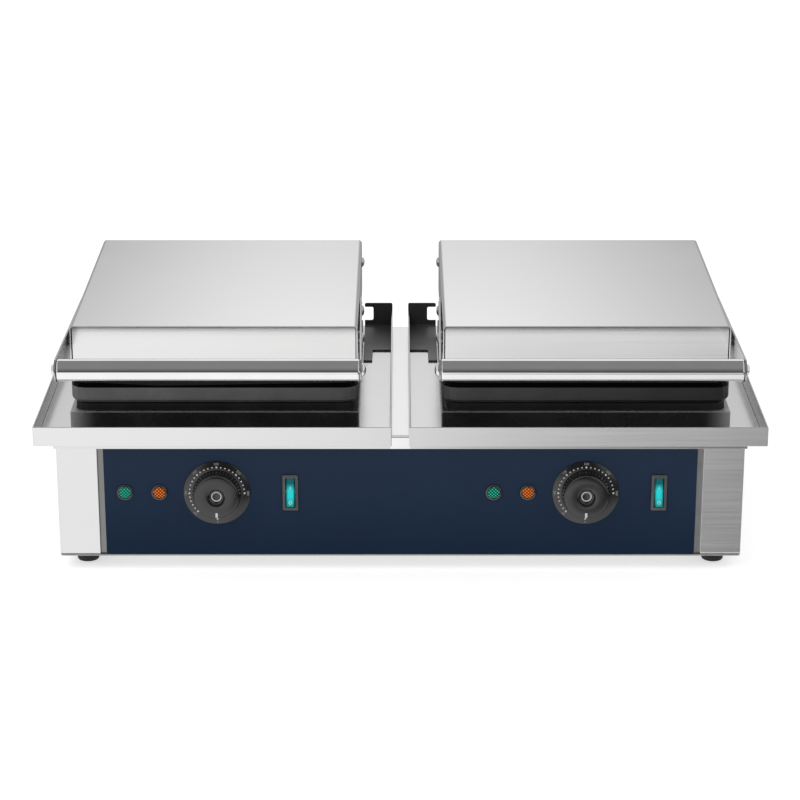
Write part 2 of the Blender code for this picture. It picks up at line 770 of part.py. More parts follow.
def deck_size(height):
    """Width, depth and a given height of the deck and of the band under its edge."""
    side = BODY_SHEET + SEAT_GAP
    return (BODY_WIDTH + 2 * side, BODY_DEPTH + 2 * side, height)


def make_top_deck(machine):
    """The flat deck over the housing, with the two openings under the baking plates."""
    centre = (0, BODY_SETBACK + BODY_DEPTH / 2, DECK_Z - BODY_SHEET / 2)
    deck = block("top_deck", deck_size(BODY_SHEET), centre)
    for _, side_sign in unit_sides():
        cut(deck, heater_opening("deck_opening", BODY_SHEET + CUT_OVERRUN, DECK_Z, side_sign * UNIT_X))
    hang(deck, machine)
    return finish(deck, BRUSHED_STEEL)


def make_deck_band(machine):
    """The upright band under the edge of the deck, all round the top of the housing."""
    height = DECK_FLANGE_HEIGHT - BODY_SHEET - SEAT_GAP
    centre = (0, BODY_SETBACK + BODY_DEPTH / 2, DECK_FLANGE_Z + height / 2)
    band = sheet_box("deck_edge_band", deck_size(height), BODY_SHEET, ("base", "top"), centre)
    hang(band, machine)
    return finish(band, BRUSHED_STEEL)


def make_cable_gland(machine):
    """The gland in the rear panel, turned about the way the mains cord leaves."""
    panel_z = REAR_SHEET + 2 * SEAT_GAP
    outer_z = panel_z + GLAND_COLLAR_LENGTH
    profile = [
        (GLAND_BORE, outer_z + GLAND_DOME_LENGTH),
        (GLAND_DOME_RADIUS - GLAND_DOME_EDGE, outer_z + GLAND_DOME_LENGTH),
        (GLAND_DOME_RADIUS, outer_z),
        (GLAND_COLLAR_RADIUS, outer_z),
        (GLAND_COLLAR_RADIUS, panel_z),
        (GLAND_RADIUS, panel_z),
        (GLAND_RADIUS, 0),
        (GLAND_COLLAR_RADIUS, 0),
        (GLAND_COLLAR_RADIUS, -GLAND_NUT_LENGTH),
        (GLAND_BORE, -GLAND_NUT_LENGTH),
    ]
    gland = turned("cable_gland", profile, TINY_ROUND_STEPS, closed=True)
    gland.rotation_euler = (-math.pi / 2, 0, 0)
    gland.location = (0, TRAY_DEPTH, GLAND_Z)
    hang(gland, machine)
    return finish(gland, BLACK_PLASTIC)


def make_terminal_block(machine):
    """The mains terminal block on the bottom plate, with ribs between its ways."""
    base_z = BOTTOM_PLATE_Z + BODY_SHEET + SEAT_GAP
    y = TRAY_DEPTH - TERMINAL_FROM_REAR
    size = (TERMINAL_LENGTH, TERMINAL_DEPTH, TERMINAL_BASE_HEIGHT)
    terminal = block("terminal_block", size, (0, y, base_z + TERMINAL_BASE_HEIGHT / 2))
    rib_height = TERMINAL_BASE_HEIGHT + TERMINAL_RIB_HEIGHT
    spacing = (TERMINAL_LENGTH - TERMINAL_RIB_WIDTH) / (TERMINAL_RIBS - 1)
    for number in range(TERMINAL_RIBS):
        x = -TERMINAL_LENGTH / 2 + TERMINAL_RIB_WIDTH / 2 + number * spacing
        rib = block("rib", (TERMINAL_RIB_WIDTH, TERMINAL_DEPTH, rib_height), (x, y, base_z + rib_height / 2))
        join(terminal, rib)
    hang(terminal, machine)
    return finish(terminal, CERAMIC_WHITE)


def make_lamp(name, x, look, machine):
    """An indicator lamp: domed lens, flange and the body that passes through the panel."""
    lens = [(r, LAMP_FLANGE_THICKNESS + z) for r, z in dome(LAMP_LENS_RADIUS, LAMP_LENS_HEIGHT)]
    profile = lens + [
        (LAMP_FLANGE_RADIUS, LAMP_FLANGE_THICKNESS),
        (LAMP_FLANGE_RADIUS, 0),
        (LAMP_BODY_RADIUS, 0),
        (LAMP_BODY_RADIUS, -LAMP_BODY_LENGTH),
        (0, -LAMP_BODY_LENGTH),
    ]
    lamp = turned(name, profile, SMALL_ROUND_STEPS)
    lamp.rotation_euler = (math.pi / 2, 0, 0)
    lamp.location = (x, BODY_SETBACK - SEAT_GAP, CONTROL_Z)
    hang(lamp, machine)
    return finish(lamp, look)


def make_dial_ring(name, x, machine):
    """The fixed disc behind the knob, which carries the temperature scale."""
    profile = [
        (DIAL_BORE, DIAL_THICKNESS),
        (DIAL_RADIUS - DIAL_EDGE, DIAL_THICKNESS),
        (DIAL_RADIUS, DIAL_THICKNESS - DIAL_EDGE),
        (DIAL_RADIUS, 0),
        (DIAL_BORE, 0),
    ]
    ring = turned(name, profile, ROUND_STEPS, closed=True)
    ring.rotation_euler = (math.pi / 2, 0, 0)
    ring.location = (x, BODY_SETBACK - SEAT_GAP, CONTROL_Z)
    hang(ring, machine)
    return finish(ring, BLACK_PLASTIC)


def knob_back_y():
    """Y of the back face of a knob, just in front of its dial ring."""
    return BODY_SETBACK - SEAT_GAP - DIAL_THICKNESS - RUNNING_GAP


def make_knob(name, x, pivot):
    """The temperature knob, turned about its shaft, with a dished hub."""
    face = KNOB_HEIGHT
    bend_in = KNOB_EDGE * (1 - math.sin(math.pi / 4))
    profile = [
        (0, face - KNOB_DISH_DEPTH),
        (KNOB_HUB_RADIUS, face - KNOB_DISH_DEPTH),
        (KNOB_DISH_RADIUS, face),
        ((KNOB_DISH_RADIUS + KNOB_FACE_RADIUS) / 2, face + KNOB_CROWN),
        (KNOB_FACE_RADIUS - KNOB_EDGE, face),
        (KNOB_FACE_RADIUS - bend_in, face - bend_in),
        (KNOB_FACE_RADIUS, face - KNOB_EDGE),
        (KNOB_RADIUS, 0),
        (SHAFT_RADIUS + SEAT_GAP, 0),
        (SHAFT_RADIUS + SEAT_GAP, KNOB_BORE_DEPTH),
        (0, KNOB_BORE_DEPTH),
    ]
    knob = turned(name, profile, ROUND_STEPS)
    knob.rotation_euler = (math.pi / 2, 0, 0)
    knob.location = (x, knob_back_y(), CONTROL_Z)
    hang(knob, pivot)
    return finish(knob, BLACK_PLASTIC)


def make_shaft(name, x, pivot):
    """The thermostat shaft, from inside its bush to inside the knob."""
    front = knob_back_y() - KNOB_BORE_DEPTH + SEAT_GAP
    back = FRONT_WALL_BACK_Y + SEAT_GAP + SHAFT_DEPTH_IN_BUSH
    place = (x, (front + back) / 2, CONTROL_Z)
    shaft = smooth(cylinder(name, SHAFT_RADIUS, back - front, place, "Y", SMALL_ROUND_STEPS))
    hang(shaft, pivot)
    return finish(shaft, PLAIN_STEEL)


def make_thermostat(name, x, machine):
    """The thermostat behind the front wall, with its bush, bore and two terminals."""
    body_front = FRONT_WALL_BACK_Y + SEAT_GAP
    size = (THERMOSTAT_WIDTH, THERMOSTAT_DEPTH, THERMOSTAT_HEIGHT)
    body = block(name, size, (x, body_front + THERMOSTAT_DEPTH / 2, CONTROL_Z))
    bush_length = body_front - BODY_SETBACK + BODY_SHEET
    bush_place = (x, BODY_SETBACK + bush_length / 2, CONTROL_Z)
    join(body, cylinder("bush", BUSH_RADIUS, bush_length, bush_place, "Y", SMALL_ROUND_STEPS))
    for side in (-1, 1):
        tab_size = (THERMOSTAT_TAB_THICKNESS, 2 * THERMOSTAT_TAB_LENGTH, THERMOSTAT_TAB_WIDTH)
        tab_y = body_front + THERMOSTAT_DEPTH
        join(body, block("tab", tab_size, (x + side * THERMOSTAT_TAB_SPREAD, tab_y, CONTROL_Z)))
    bore_end = body_front + SHAFT_DEPTH_IN_BUSH + 2 * SEAT_GAP
    bore_start = BODY_SETBACK - CUT_OVERRUN
    bore_place = (x, (bore_start + bore_end) / 2, CONTROL_Z)
    cut(body, cylinder("bore", SHAFT_RADIUS + RUNNING_GAP, bore_end - bore_start, bore_place, "Y",
                       SMALL_ROUND_STEPS))
    hang(body, machine)
    return finish(body, BLACK_PLASTIC)


def rocker_pivot_y():
    """Y of the axis on which a rocker tilts."""
    return BODY_SETBACK - SEAT_GAP - SWITCH_FLANGE_THICKNESS + ROCKER_PIVOT_DEPTH


def make_switch(name, x, machine):
    """The body of a rocker switch, with its flange, pocket and pivot holes."""
    flange_y = BODY_SETBACK - SEAT_GAP - SWITCH_FLANGE_THICKNESS / 2
    flange_size = (SWITCH_FLANGE_WIDTH, SWITCH_FLANGE_THICKNESS, SWITCH_FLANGE_HEIGHT)
    switch = block(name, flange_size, (x, flange_y, CONTROL_Z))
    body_length = SWITCH_BODY_DEPTH + SWITCH_FLANGE_THICKNESS / 2
    body_size = (SWITCH_BODY_WIDTH, body_length, SWITCH_BODY_HEIGHT)
    join(switch, block("body", body_size, (x, flange_y + body_length / 2, CONTROL_Z)))
    pocket_front = BODY_SETBACK - SEAT_GAP - SWITCH_FLANGE_THICKNESS
    pocket_depth = SWITCH_POCKET_DEPTH + CUT_OVERRUN
    pocket_size = (ROCKER_WIDTH + 2 * RUNNING_GAP, pocket_depth, ROCKER_HEIGHT + 2 * ROCKER_END_GAP)
    pocket_y = pocket_front - CUT_OVERRUN + pocket_depth / 2
    cut(switch, block("pocket", pocket_size, (x, pocket_y, CONTROL_Z)))
    pin_length = ROCKER_WIDTH + 2 * (RUNNING_GAP + ROCKER_PIN_REACH + SEAT_GAP)
    pin_place = (x, rocker_pivot_y(), CONTROL_Z)
    cut(switch, cylinder("pin_hole", ROCKER_PIN_RADIUS + SEAT_GAP, pin_length, pin_place, "X",
                         TINY_ROUND_STEPS))
    hang(switch, machine)
    return finish(switch, BLACK_PLASTIC)


def make_rocker(name, x, pivot):
    """The rocker, a shallow V in side view, with the top end pressed in at rest."""
    half_height = ROCKER_HEIGHT / 2
    rise = half_height * math.tan(ROCKER_TILT)
    front = -ROCKER_PIVOT_DEPTH
    back = front + ROCKER_DEPTH
    corners = [
        (front + SEAT_GAP, 0, 0),
        (front + SEAT_GAP - rise, half_height, ROCKER_END_GAP),
        (back - rise, half_height, ROCKER_END_GAP),
        (back, 0, 0),
        (back - rise, -half_height, ROCKER_END_GAP),
        (front + SEAT_GAP - rise, -half_height, ROCKER_END_GAP),
    ]
    rocker = side_plate(name, fillet_path(corners, True, SMALL_ARC_STEPS), ROCKER_WIDTH, (0, 0, 0))
    pin_length = ROCKER_WIDTH + 2 * (RUNNING_GAP + ROCKER_PIN_REACH)
    join(rocker, cylinder("pin", ROCKER_PIN_RADIUS, pin_length, (0, 0, 0), "X", TINY_ROUND_STEPS))
    rocker.rotation_euler = (-ROCKER_TILT, 0, 0)
    rocker.location = (x, rocker_pivot_y(), CONTROL_Z)
    hang(rocker, pivot)
    return finish(rocker, TEAL_LENS)


def make_controls(side_name, side, machine):
    """Everything on one unit's half of the control panel."""
    places = control_places(side)
    make_lamp(side_name + "_power_lamp", places["green"], GREEN_LENS, machine)
    make_lamp(side_name + "_heating_lamp", places["orange"], ORANGE_LENS, machine)
    make_dial_ring(side_name + "_dial_ring", places["dial"], machine)
    make_thermostat(side_name + "_thermostat", places["dial"], machine)
    make_switch(side_name + "_switch_body", places["switch"], machine)
    knob_axis = empty(side_name + "_knob_axis", (places["dial"], knob_back_y(), CONTROL_Z))
    make_knob(side_name + "_knob", places["dial"], knob_axis)
    make_shaft(side_name + "_thermostat_shaft", places["dial"], knob_axis)
    hang(knob_axis, machine)
    rocker_axis = empty(side_name + "_rocker_axis", (places["switch"], rocker_pivot_y(), CONTROL_Z))
    make_rocker(side_name + "_rocker", places["switch"], rocker_axis)
    hang(rocker_axis, machine)


def make_tray(name, x, side, machine):
    """A shallow tray, open at the back, whose inner rim ends in front of the notched bracket."""
    size = (TRAY_WIDTH, TRAY_DEPTH, TRAY_HEIGHT)
    tray = sheet_box(name, size, TRAY_SHEET, ("top", "back"), (x, TRAY_DEPTH / 2, TRAY_Z + TRAY_HEIGHT / 2))
    cut(tray, heater_opening("tray_opening", 2 * TRAY_SHEET + CUT_OVERRUN, TRAY_Z, x))
    rim_size = (2 * TRAY_SHEET, 2 * (NOTCH_BRACKET_SHEET + SEAT_GAP), 2 * TRAY_HEIGHT)
    rim_centre = (side * TRAY_SPACING / 2, TRAY_DEPTH, TRAY_FLOOR_Z + TRAY_HEIGHT)
    cut(tray, block("rim_end", rim_size, rim_centre))
    hang(tray, machine)
    return finish(tray, BRUSHED_STEEL)


def make_surround(name, x, machine):
    """The black frame round the lower plate: a sheet box with a wide opening in its top."""
    centre = (x, PLATE_Y, SURROUND_Z + SURROUND_HEIGHT / 2)
    size = (SURROUND_WIDTH, SURROUND_DEPTH, SURROUND_HEIGHT)
    frame = sheet_box(name, size, SURROUND_SHEET, ("base",), centre)
    opening_size = (LOWER_PLATE_WIDTH + 2 * SEAT_GAP, PLATE_DEPTH + 2 * SEAT_GAP,
                    SURROUND_SHEET + CUT_OVERRUN)
    opening_centre = (x, PLATE_Y, SURROUND_Z + SURROUND_HEIGHT)
    cut(frame, rounded_block("opening", opening_size, opening_centre, PLATE_CORNER, 0))
    hang(frame, machine)
    return finish(frame, SATIN_BLACK)


def field_size():
    """Width and depth of one waffle field at the parting face of a plate."""
    width = (LOWER_PLATE_WIDTH - 2 * PLATE_SIDE_RIM - (FIELDS_ACROSS - 1) * FIELD_RIDGE) / FIELDS_ACROSS
    depth = (PLATE_DEPTH - 2 * PLATE_END_RIM - (FIELDS_DEEP - 1) * FIELD_RIDGE) / FIELDS_DEEP
    return width, depth


def field_centres():
    """Centres of the waffle fields about the middle of a plate."""
    width, depth = field_size()
    for row in range(FIELDS_DEEP):
        for column in range(FIELDS_ACROSS):
            x = (column - (FIELDS_ACROSS - 1) / 2) * (width + FIELD_RIDGE)
            y = (row - (FIELDS_DEEP - 1) / 2) * (depth + FIELD_RIDGE)
            yield x, y


def field_tool(x, y):
    """Cutter for one waffle field, wider at the parting face than at its floor."""
    width, depth = field_size()
    floor_depth = STUD_TIP_DROP + STUD_HEIGHT
    slope = FIELD_DRAFT / floor_depth
    spread = 2 * slope * (floor_depth + CUT_OVERRUN)
    floor = (width - 2 * FIELD_DRAFT, depth - 2 * FIELD_DRAFT)
    mouth = (floor[0] + spread, floor[1] + spread)
    return tapered_block("field", floor, mouth, floor_depth + CUT_OVERRUN, (x, y, -floor_depth))


def stud_group(x, y):
    """The tapered studs of one waffle field, rooted in its floor, as one tool shape."""
    width, depth = field_size()
    pitch_x = (width - 2 * FIELD_DRAFT) / POCKETS_PER_FIELD_SIDE
    pitch_y = (depth - 2 * FIELD_DRAFT) / POCKETS_PER_FIELD_SIDE
    total = STUD_HEIGHT + STUD_ROOT
    spread = 2 * STUD_DRAFT * STUD_ROOT / STUD_HEIGHT
    shape = bmesh.new()
    for row in range(POCKETS_PER_FIELD_SIDE):
        for column in range(POCKETS_PER_FIELD_SIDE):
            stud_x = (column - (POCKETS_PER_FIELD_SIDE - 1) / 2) * pitch_x
            stud_y = (row - (POCKETS_PER_FIELD_SIDE - 1) / 2) * pitch_y
            corners = bmesh.ops.create_cube(shape, size=1)["verts"]
            for corner in corners:
                is_tip = corner.co.z > 0
                shrink = 2 * STUD_DRAFT if is_tip else -spread
                corner.co.x = stud_x + corner.co.x * (pitch_x - WEB_WIDTH - shrink)
                corner.co.y = stud_y + corner.co.y * (pitch_y - WEB_WIDTH - shrink)
                corner.co.z = total if is_tip else 0
    studs = object_from_bmesh("studs", shape)
    studs.location = (x, y, -STUD_TIP_DROP - total)
    return studs


def form_waffle_face(plate):
    """Sink the waffle fields into the parting face at Z = 0 and raise their studs."""
    for x, y in field_centres():
        cut(plate, field_tool(x, y))
    for x, y in field_centres():
        join(plate, stud_group(x, y))
    return plate


def make_lower_plate(name, x, machine):
    """The cast lower plate, open upwards."""
    size = (LOWER_PLATE_WIDTH, PLATE_DEPTH, LOWER_PLATE_HEIGHT)
    centre = (0, 0, -LOWER_PLATE_HEIGHT / 2)
    plate = rounded_block(name, size, centre, PLATE_CORNER, PLATE_EDGE, round_base=False, edge_steps=1)
    form_waffle_face(plate)
    centre_origin(plate)
    plate.location = (x, PLATE_Y, LOWER_PLATE_TOP_Z)
    hang(plate, machine)
    return finish(plate, CAST_BLACK)


def make_upper_plate(name, x, pivot):
    """The cast upper plate, the same face turned downwards, with a back that enters the lid."""
    size = (UPPER_PLATE_WIDTH, SURROUND_DEPTH, UPPER_PLATE_RIM_HEIGHT)
    centre = (0, 0, -UPPER_PLATE_RIM_HEIGHT / 2)
    plate = rounded_block(name, size, centre, UPPER_PLATE_CORNER, UPPER_PLATE_EDGE, edge_steps=1)
    back_height = UPPER_PLATE_BACK_HEIGHT + UPPER_PLATE_RIM_HEIGHT / 2
    back_size = (LOWER_PLATE_WIDTH - 2 * UPPER_PLATE_BACK_INSET, PLATE_DEPTH - 2 * UPPER_PLATE_BACK_INSET,
                 back_height)
    back_z = -UPPER_PLATE_RIM_HEIGHT - UPPER_PLATE_BACK_HEIGHT + back_height / 2
    join(plate, rounded_block("back", back_size, (0, 0, back_z), PLATE_CORNER, 0,
                              corner_steps=SMALL_ARC_STEPS))
    form_waffle_face(plate)
    centre_origin(plate)
    plate.data.transform(Matrix.Rotation(math.pi, 4, "X"))
    plate.location = (x, PLATE_Y, UPPER_PLATE_Z)
    hang(plate, pivot)
    return finish(plate, CAST_BLACK)


def make_heater(name, x, z, carrier):
    """A tubular element bent in one M-shaped loop, with its two ends at the back."""
    half_depth = HEATER_OPENING_DEPTH / 2
    inner_x = HEATER_OUTER_X * HEATER_INNER_SHARE
    lead_x = HEATER_OUTER_X * HEATER_LEAD_SHARE
    bend = (HEATER_OUTER_X - inner_x) * HEATER_BEND_SHARE
    front_y = half_depth * HEATER_FRONT_SHARE
    back_y = half_depth * HEATER_BACK_SHARE
    corners = [
        (-lead_x, half_depth * HEATER_LEAD_END_SHARE, 0),
        (-lead_x, back_y, bend / 2),
        (-HEATER_OUTER_X, back_y, bend),
        (-HEATER_OUTER_X, front_y, bend),
        (-inner_x, front_y, bend),
        (-inner_x, half_depth * HEATER_MIDDLE_SHARE, bend),
    ]
    corners += [(-corner_x, y, radius) for corner_x, y, radius in reversed(corners)]
    curve = bpy.data.curves.new(name, "CURVE")
    curve.dimensions = "3D"
    curve.bevel_depth = HEATER_RADIUS
    curve.bevel_resolution = 1
    curve.use_fill_caps = True
    spline = curve.splines.new("POLY")
    points = fillet_path(corners, False, SMALL_ARC_STEPS)
    spline.points.add(len(points) - 1)
    for corner, point in zip(spline.points, points):
        corner.co = (point.x, point.y, 0, 1)
    heater = smooth(curve_to_piece(name, curve))
    heater.location = (x, PLATE_Y, z)
    hang(heater, carrier)
    return finish(heater, HEATER_METAL)


def make_shield(name, x, pivot):
    """The folded cover that holds the upper element down on its plate."""
    width = LOWER_PLATE_WIDTH - 2 * UPPER_PLATE_BACK_INSET - 2 * SHIELD_INSET
    depth = PLATE_DEPTH - 2 * UPPER_PLATE_BACK_INSET - 2 * SHIELD_INSET
    centre = (x, PLATE_Y, UPPER_PLATE_BACK_Z + SEAT_GAP + SHIELD_HEIGHT / 2)
    shield = sheet_box(name, (width, depth, SHIELD_HEIGHT), SHIELD_SHEET, ("base",), centre)
    hang(shield, pivot)
    return finish(shield, PLAIN_STEEL)


def make_lid_shell(name, x, pivot):
    """The sheet cover of a lid, open below, with a lip at the front edge of its top."""
    size = (LID_WIDTH, LID_DEPTH - LID_LIP_DEPTH, LID_HEIGHT)
    centre_y = LID_SETBACK + LID_LIP_DEPTH + size[1] / 2
    shell = sheet_box(name, size, LID_SHEET, ("base",), (x, centre_y, LID_Z + LID_HEIGHT / 2))
    lip_depth = LID_LIP_DEPTH + LID_SHEET
    lip_size = (LID_WIDTH, lip_depth, LID_LIP_HEIGHT)
    lip_centre = (x, LID_SETBACK + lip_depth / 2, LID_TOP_Z - LID_LIP_HEIGHT / 2)
    join(shell, block("lip", lip_size, lip_centre))
    hang(shell, pivot)
    return finish(shell, BRUSHED_STEEL)


def arm_outline():
    """Outline of a handle arm in Y and Z, from the machine's own zero: a strip with a round nose."""
    top = HANDLE_Z + ARM_NOSE_RADIUS
    base = HANDLE_Z - ARM_NOSE_RADIUS
    tail = LID_SETBACK + ARM_LENGTH_ON_LID
    corners = [
        (ARM_FRONT_Y, base, ARM_NOSE_RADIUS),
        (tail, base, ARM_TAIL_RADIUS),
        (tail, top, ARM_TAIL_RADIUS),
        (ARM_FRONT_Y, top, ARM_NOSE_RADIUS),
    ]
    return fillet_path(corners, True)


def make_arm(name, x, side, pivot):
    """A handle arm that starts against the side of its lid and splays a little, over a boss."""
    inner_x = LID_WIDTH / 2 + SEAT_GAP
    tail = LID_SETBACK + ARM_LENGTH_ON_LID
    splay = math.atan(ARM_SPACER / (tail + HANDLE_REACH))
    arm = side_plate(name, arm_outline(), ARM_THICKNESS, (side * ARM_THICKNESS / 2, -tail, 0))
    centre_origin(arm)
    arm.data.transform(Matrix.Rotation(side * splay, 4, "Z"))
    arm.location = (x + side * inner_x, tail, 0)
    boss_y = LID_SETBACK + ARM_BOSS_INSET
    boss_length = (tail - boss_y) * math.tan(splay) + ARM_THICKNESS / 2
    boss_centre = (x + side * (inner_x + boss_length / 2), boss_y, HANDLE_Z)
    join(arm, cylinder("boss", ARM_BOSS_RADIUS, boss_length, boss_centre, "X", TINY_ROUND_STEPS))
    hole_centre = (x + side * (inner_x + ARM_SPACER + ARM_THICKNESS / 2), -HANDLE_REACH, HANDLE_Z)
    hole_length = ARM_THICKNESS + CUT_OVERRUN
    cut(arm, cylinder("stud_hole", HANDLE_STUD_RADIUS + SEAT_GAP, hole_length, hole_centre, "X",
                      TINY_ROUND_STEPS))
    hang(arm, pivot)
    return finish(arm, BRUSHED_STEEL)


def make_handle(name, x, pivot):
    """The chromed bar between the arms, with its studs and domed end nuts."""
    half_bar = LID_WIDTH / 2 + ARM_SPACER
    half_stud = half_bar + ARM_THICKNESS + 3 * SEAT_GAP
    half = [(r, half_stud + z) for r, z in dome(HANDLE_NUT_RADIUS, HANDLE_NUT_HEIGHT)]
    half += [
        (HANDLE_STUD_RADIUS, half_stud),
        (HANDLE_STUD_RADIUS, half_bar),
        (HANDLE_RADIUS - HANDLE_CAP_EDGE, half_bar),
        (HANDLE_RADIUS, half_bar - HANDLE_CAP_EDGE),
    ]
    profile = half + [(r, -z) for r, z in reversed(half)]
    handle = turned(name, profile, ROUND_STEPS)
    handle.rotation_euler = (0, math.pi / 2, 0)
    handle.location = (x, -HANDLE_REACH, HANDLE_Z)
    hang(handle, pivot)
    return finish(handle, POLISHED_STEEL)


def bracket_ear_x():
    """Distance of the fixed hinge ears from the middle of their unit."""
    return HINGE_EAR_SPREAD + HINGE_EAR_THICKNESS + RUNNING_GAP


def cut_pin_hole(piece, x, radius):
    """Cut the hole of the hinge pin through both ears of a piece."""
    length = 2 * (bracket_ear_x() + HINGE_EAR_THICKNESS)
    return cut(piece, cylinder("pin_hole", radius, length, (x, HINGE_Y, HINGE_Z), "X",
                                SMALL_ROUND_STEPS))


def make_yoke(name, x, pivot):
    """The hinge yoke on the back of a lid: a plate with two ears for the pin."""
    plate_front = LID_REAR_Y + SEAT_GAP
    plate_y = plate_front + YOKE_THICKNESS / 2
    width = 2 * HINGE_EAR_SPREAD + HINGE_EAR_THICKNESS
    plate_size = (width, YOKE_THICKNESS, YOKE_HEIGHT)
    yoke = block(name, plate_size, (x, plate_y, HINGE_Z + HINGE_EAR_RADIUS / 2))
    corners = [
        (plate_y, HINGE_Z - YOKE_ROOT_HALF_HEIGHT, 0),
        (HINGE_Y + HINGE_EAR_RADIUS, HINGE_Z - HINGE_EAR_RADIUS, HINGE_EAR_RADIUS),
        (HINGE_Y + HINGE_EAR_RADIUS, HINGE_Z + HINGE_EAR_RADIUS, HINGE_EAR_RADIUS),
        (plate_y, HINGE_Z + YOKE_ROOT_HALF_HEIGHT, 0),
    ]
    for side in (-1, 1):
        ear = side_plate("ear", fillet_path(corners, True), HINGE_EAR_THICKNESS,
                         (x + side * HINGE_EAR_SPREAD, 0, 0))
        join(yoke, ear)
    cut_pin_hole(yoke, x, HINGE_PIN_RADIUS + RUNNING_GAP)
    hang(yoke, pivot)
    return finish(yoke, PLAIN_STEEL)


def make_hinge_bracket(name, x, machine):
    """The fixed hinge bracket on the tray: a foot plate with two ears for the pin."""
    foot_z = TRAY_FLOOR_Z + SEAT_GAP
    foot_back = TRAY_DEPTH - HINGE_FOOT_FROM_TRAY_END
    foot_front = foot_back - HINGE_FOOT_DEPTH
    width = 2 * bracket_ear_x() + HINGE_EAR_THICKNESS
    foot_size = (width, HINGE_FOOT_DEPTH, HINGE_FOOT_THICKNESS)
    foot_centre = (x, (foot_front + foot_back) / 2, foot_z + HINGE_FOOT_THICKNESS / 2)
    bracket = block(name, foot_size, foot_centre)
    leg_front = foot_back - 2 * HINGE_LEG_HALF_DEPTH
    shoulder_z = HINGE_Z - HINGE_EAR_RADIUS
    corners = [
        (leg_front, foot_z, 0),
        (foot_back, foot_z, 0),
        (HINGE_Y + HINGE_EAR_RADIUS, shoulder_z, HINGE_EAR_RADIUS / 2),
        (HINGE_Y + HINGE_EAR_RADIUS, HINGE_Z + HINGE_EAR_RADIUS, HINGE_EAR_RADIUS),
        (HINGE_Y - HINGE_EAR_RADIUS, HINGE_Z + HINGE_EAR_RADIUS, HINGE_EAR_RADIUS),
        (HINGE_Y - HINGE_EAR_RADIUS, shoulder_z, HINGE_EAR_RADIUS / 2),
    ]
    for side in (-1, 1):
        ear = side_plate("ear", fillet_path(corners, True), HINGE_EAR_THICKNESS,
                         (x + side * bracket_ear_x(), 0, 0))
        join(bracket, ear)
    cut_pin_hole(bracket, x, HINGE_PIN_RADIUS + SEAT_GAP)
    hang(bracket, machine)
    return finish(bracket, PLAIN_STEEL)


def make_hinge_pin(name, x, machine):
    """The hinge pin, with a head outside each fixed ear."""
    half_pin = bracket_ear_x() + HINGE_EAR_THICKNESS / 2 + SEAT_GAP
    half = [
        (0, half_pin + HINGE_PIN_HEAD),
        (HINGE_PIN_HEAD_RADIUS, half_pin + HINGE_PIN_HEAD),
        (HINGE_PIN_HEAD_RADIUS, half_pin),
        (HINGE_PIN_RADIUS, half_pin),
    ]
    profile = half + [(r, -z) for r, z in reversed(half)]
    pin = turned(name, profile, SMALL_ROUND_STEPS)
    pin.rotation_euler = (0, math.pi / 2, 0)
    pin.location = (x, HINGE_Y, HINGE_Z)
    hang(pin, machine)
    return finish(pin, POLISHED_STEEL)


def make_notch_bracket(name, side, machine):
    """The black bracket at a tray's inner back corner: a notched upright on a stepped foot."""
    base = TRAY_FLOOR_Z + SEAT_GAP
    top = base + NOTCH_BRACKET_HEIGHT
    sheet = NOTCH_BRACKET_SHEET
    rim_x = TRAY_SPACING / 2
    foot_x = rim_x + TRAY_SHEET + SEAT_GAP
    lid_x = UNIT_X - SURROUND_WIDTH / 2 - NOTCH_BRACKET_FROM_SURROUND
    notch_x = lid_x - NOTCH_WIDTH
    notch_top = top - NOTCH_FROM_TOP
    notch_base = notch_top - NOTCH_HEIGHT
    upright = [
        (rim_x, base, 0),
        (lid_x, base, 0),
        (lid_x, notch_base, 0),
        (notch_x, notch_base, NOTCH_CORNER),
        (notch_x, notch_top, NOTCH_CORNER),
        (lid_x, notch_top, NOTCH_CORNER / 2),
        (lid_x, top, NOTCH_CORNER),
        (rim_x, top, NOTCH_CORNER),
    ]
    back = TRAY_DEPTH
    foot_front = back - NOTCH_BRACKET_FOOT
    long_front = back - NOTCH_BRACKET_LONG_FOOT
    foot = [
        (foot_x, back - sheet / 2, 0),
        (foot_x, foot_front, 0),
        (notch_x, foot_front, NOTCH_CORNER),
        (notch_x, long_front, NOTCH_CORNER),
        (lid_x, long_front, NOTCH_CORNER),
        (lid_x, back - sheet / 2, 0),
    ]
    bracket = plate_outline(name, fillet_path([(side * a, b, r) for a, b, r in upright], True), sheet)
    bracket.data.transform(Matrix.Rotation(math.pi / 2, 4, "X"))
    bracket.location.y = back - sheet / 2
    sole = plate_outline("sole", fillet_path([(side * a, b, r) for a, b, r in foot], True), sheet)
    sole.location.z = base + sheet / 2
    join(bracket, sole)
    hang(bracket, machine)
    return finish(bracket, SATIN_BLACK)


def make_unit_base(side_name, side, machine):
    """The fixed pieces of one cooking unit."""
    x = side * UNIT_X
    make_tray(side_name + "_tray", x, side, machine)
    make_surround(side_name + "_plate_surround", x, machine)
    make_lower_plate(side_name + "_lower_baking_plate", x, machine)
    lower_z = LOWER_PLATE_Z - SEAT_GAP - HEATER_RADIUS
    make_heater(side_name + "_lower_heating_element", x, lower_z, machine)
    make_hinge_bracket(side_name + "_hinge_bracket", x, machine)
    make_hinge_pin(side_name + "_hinge_pin", x, machine)
    make_notch_bracket(side_name + "_notched_bracket", side, machine)


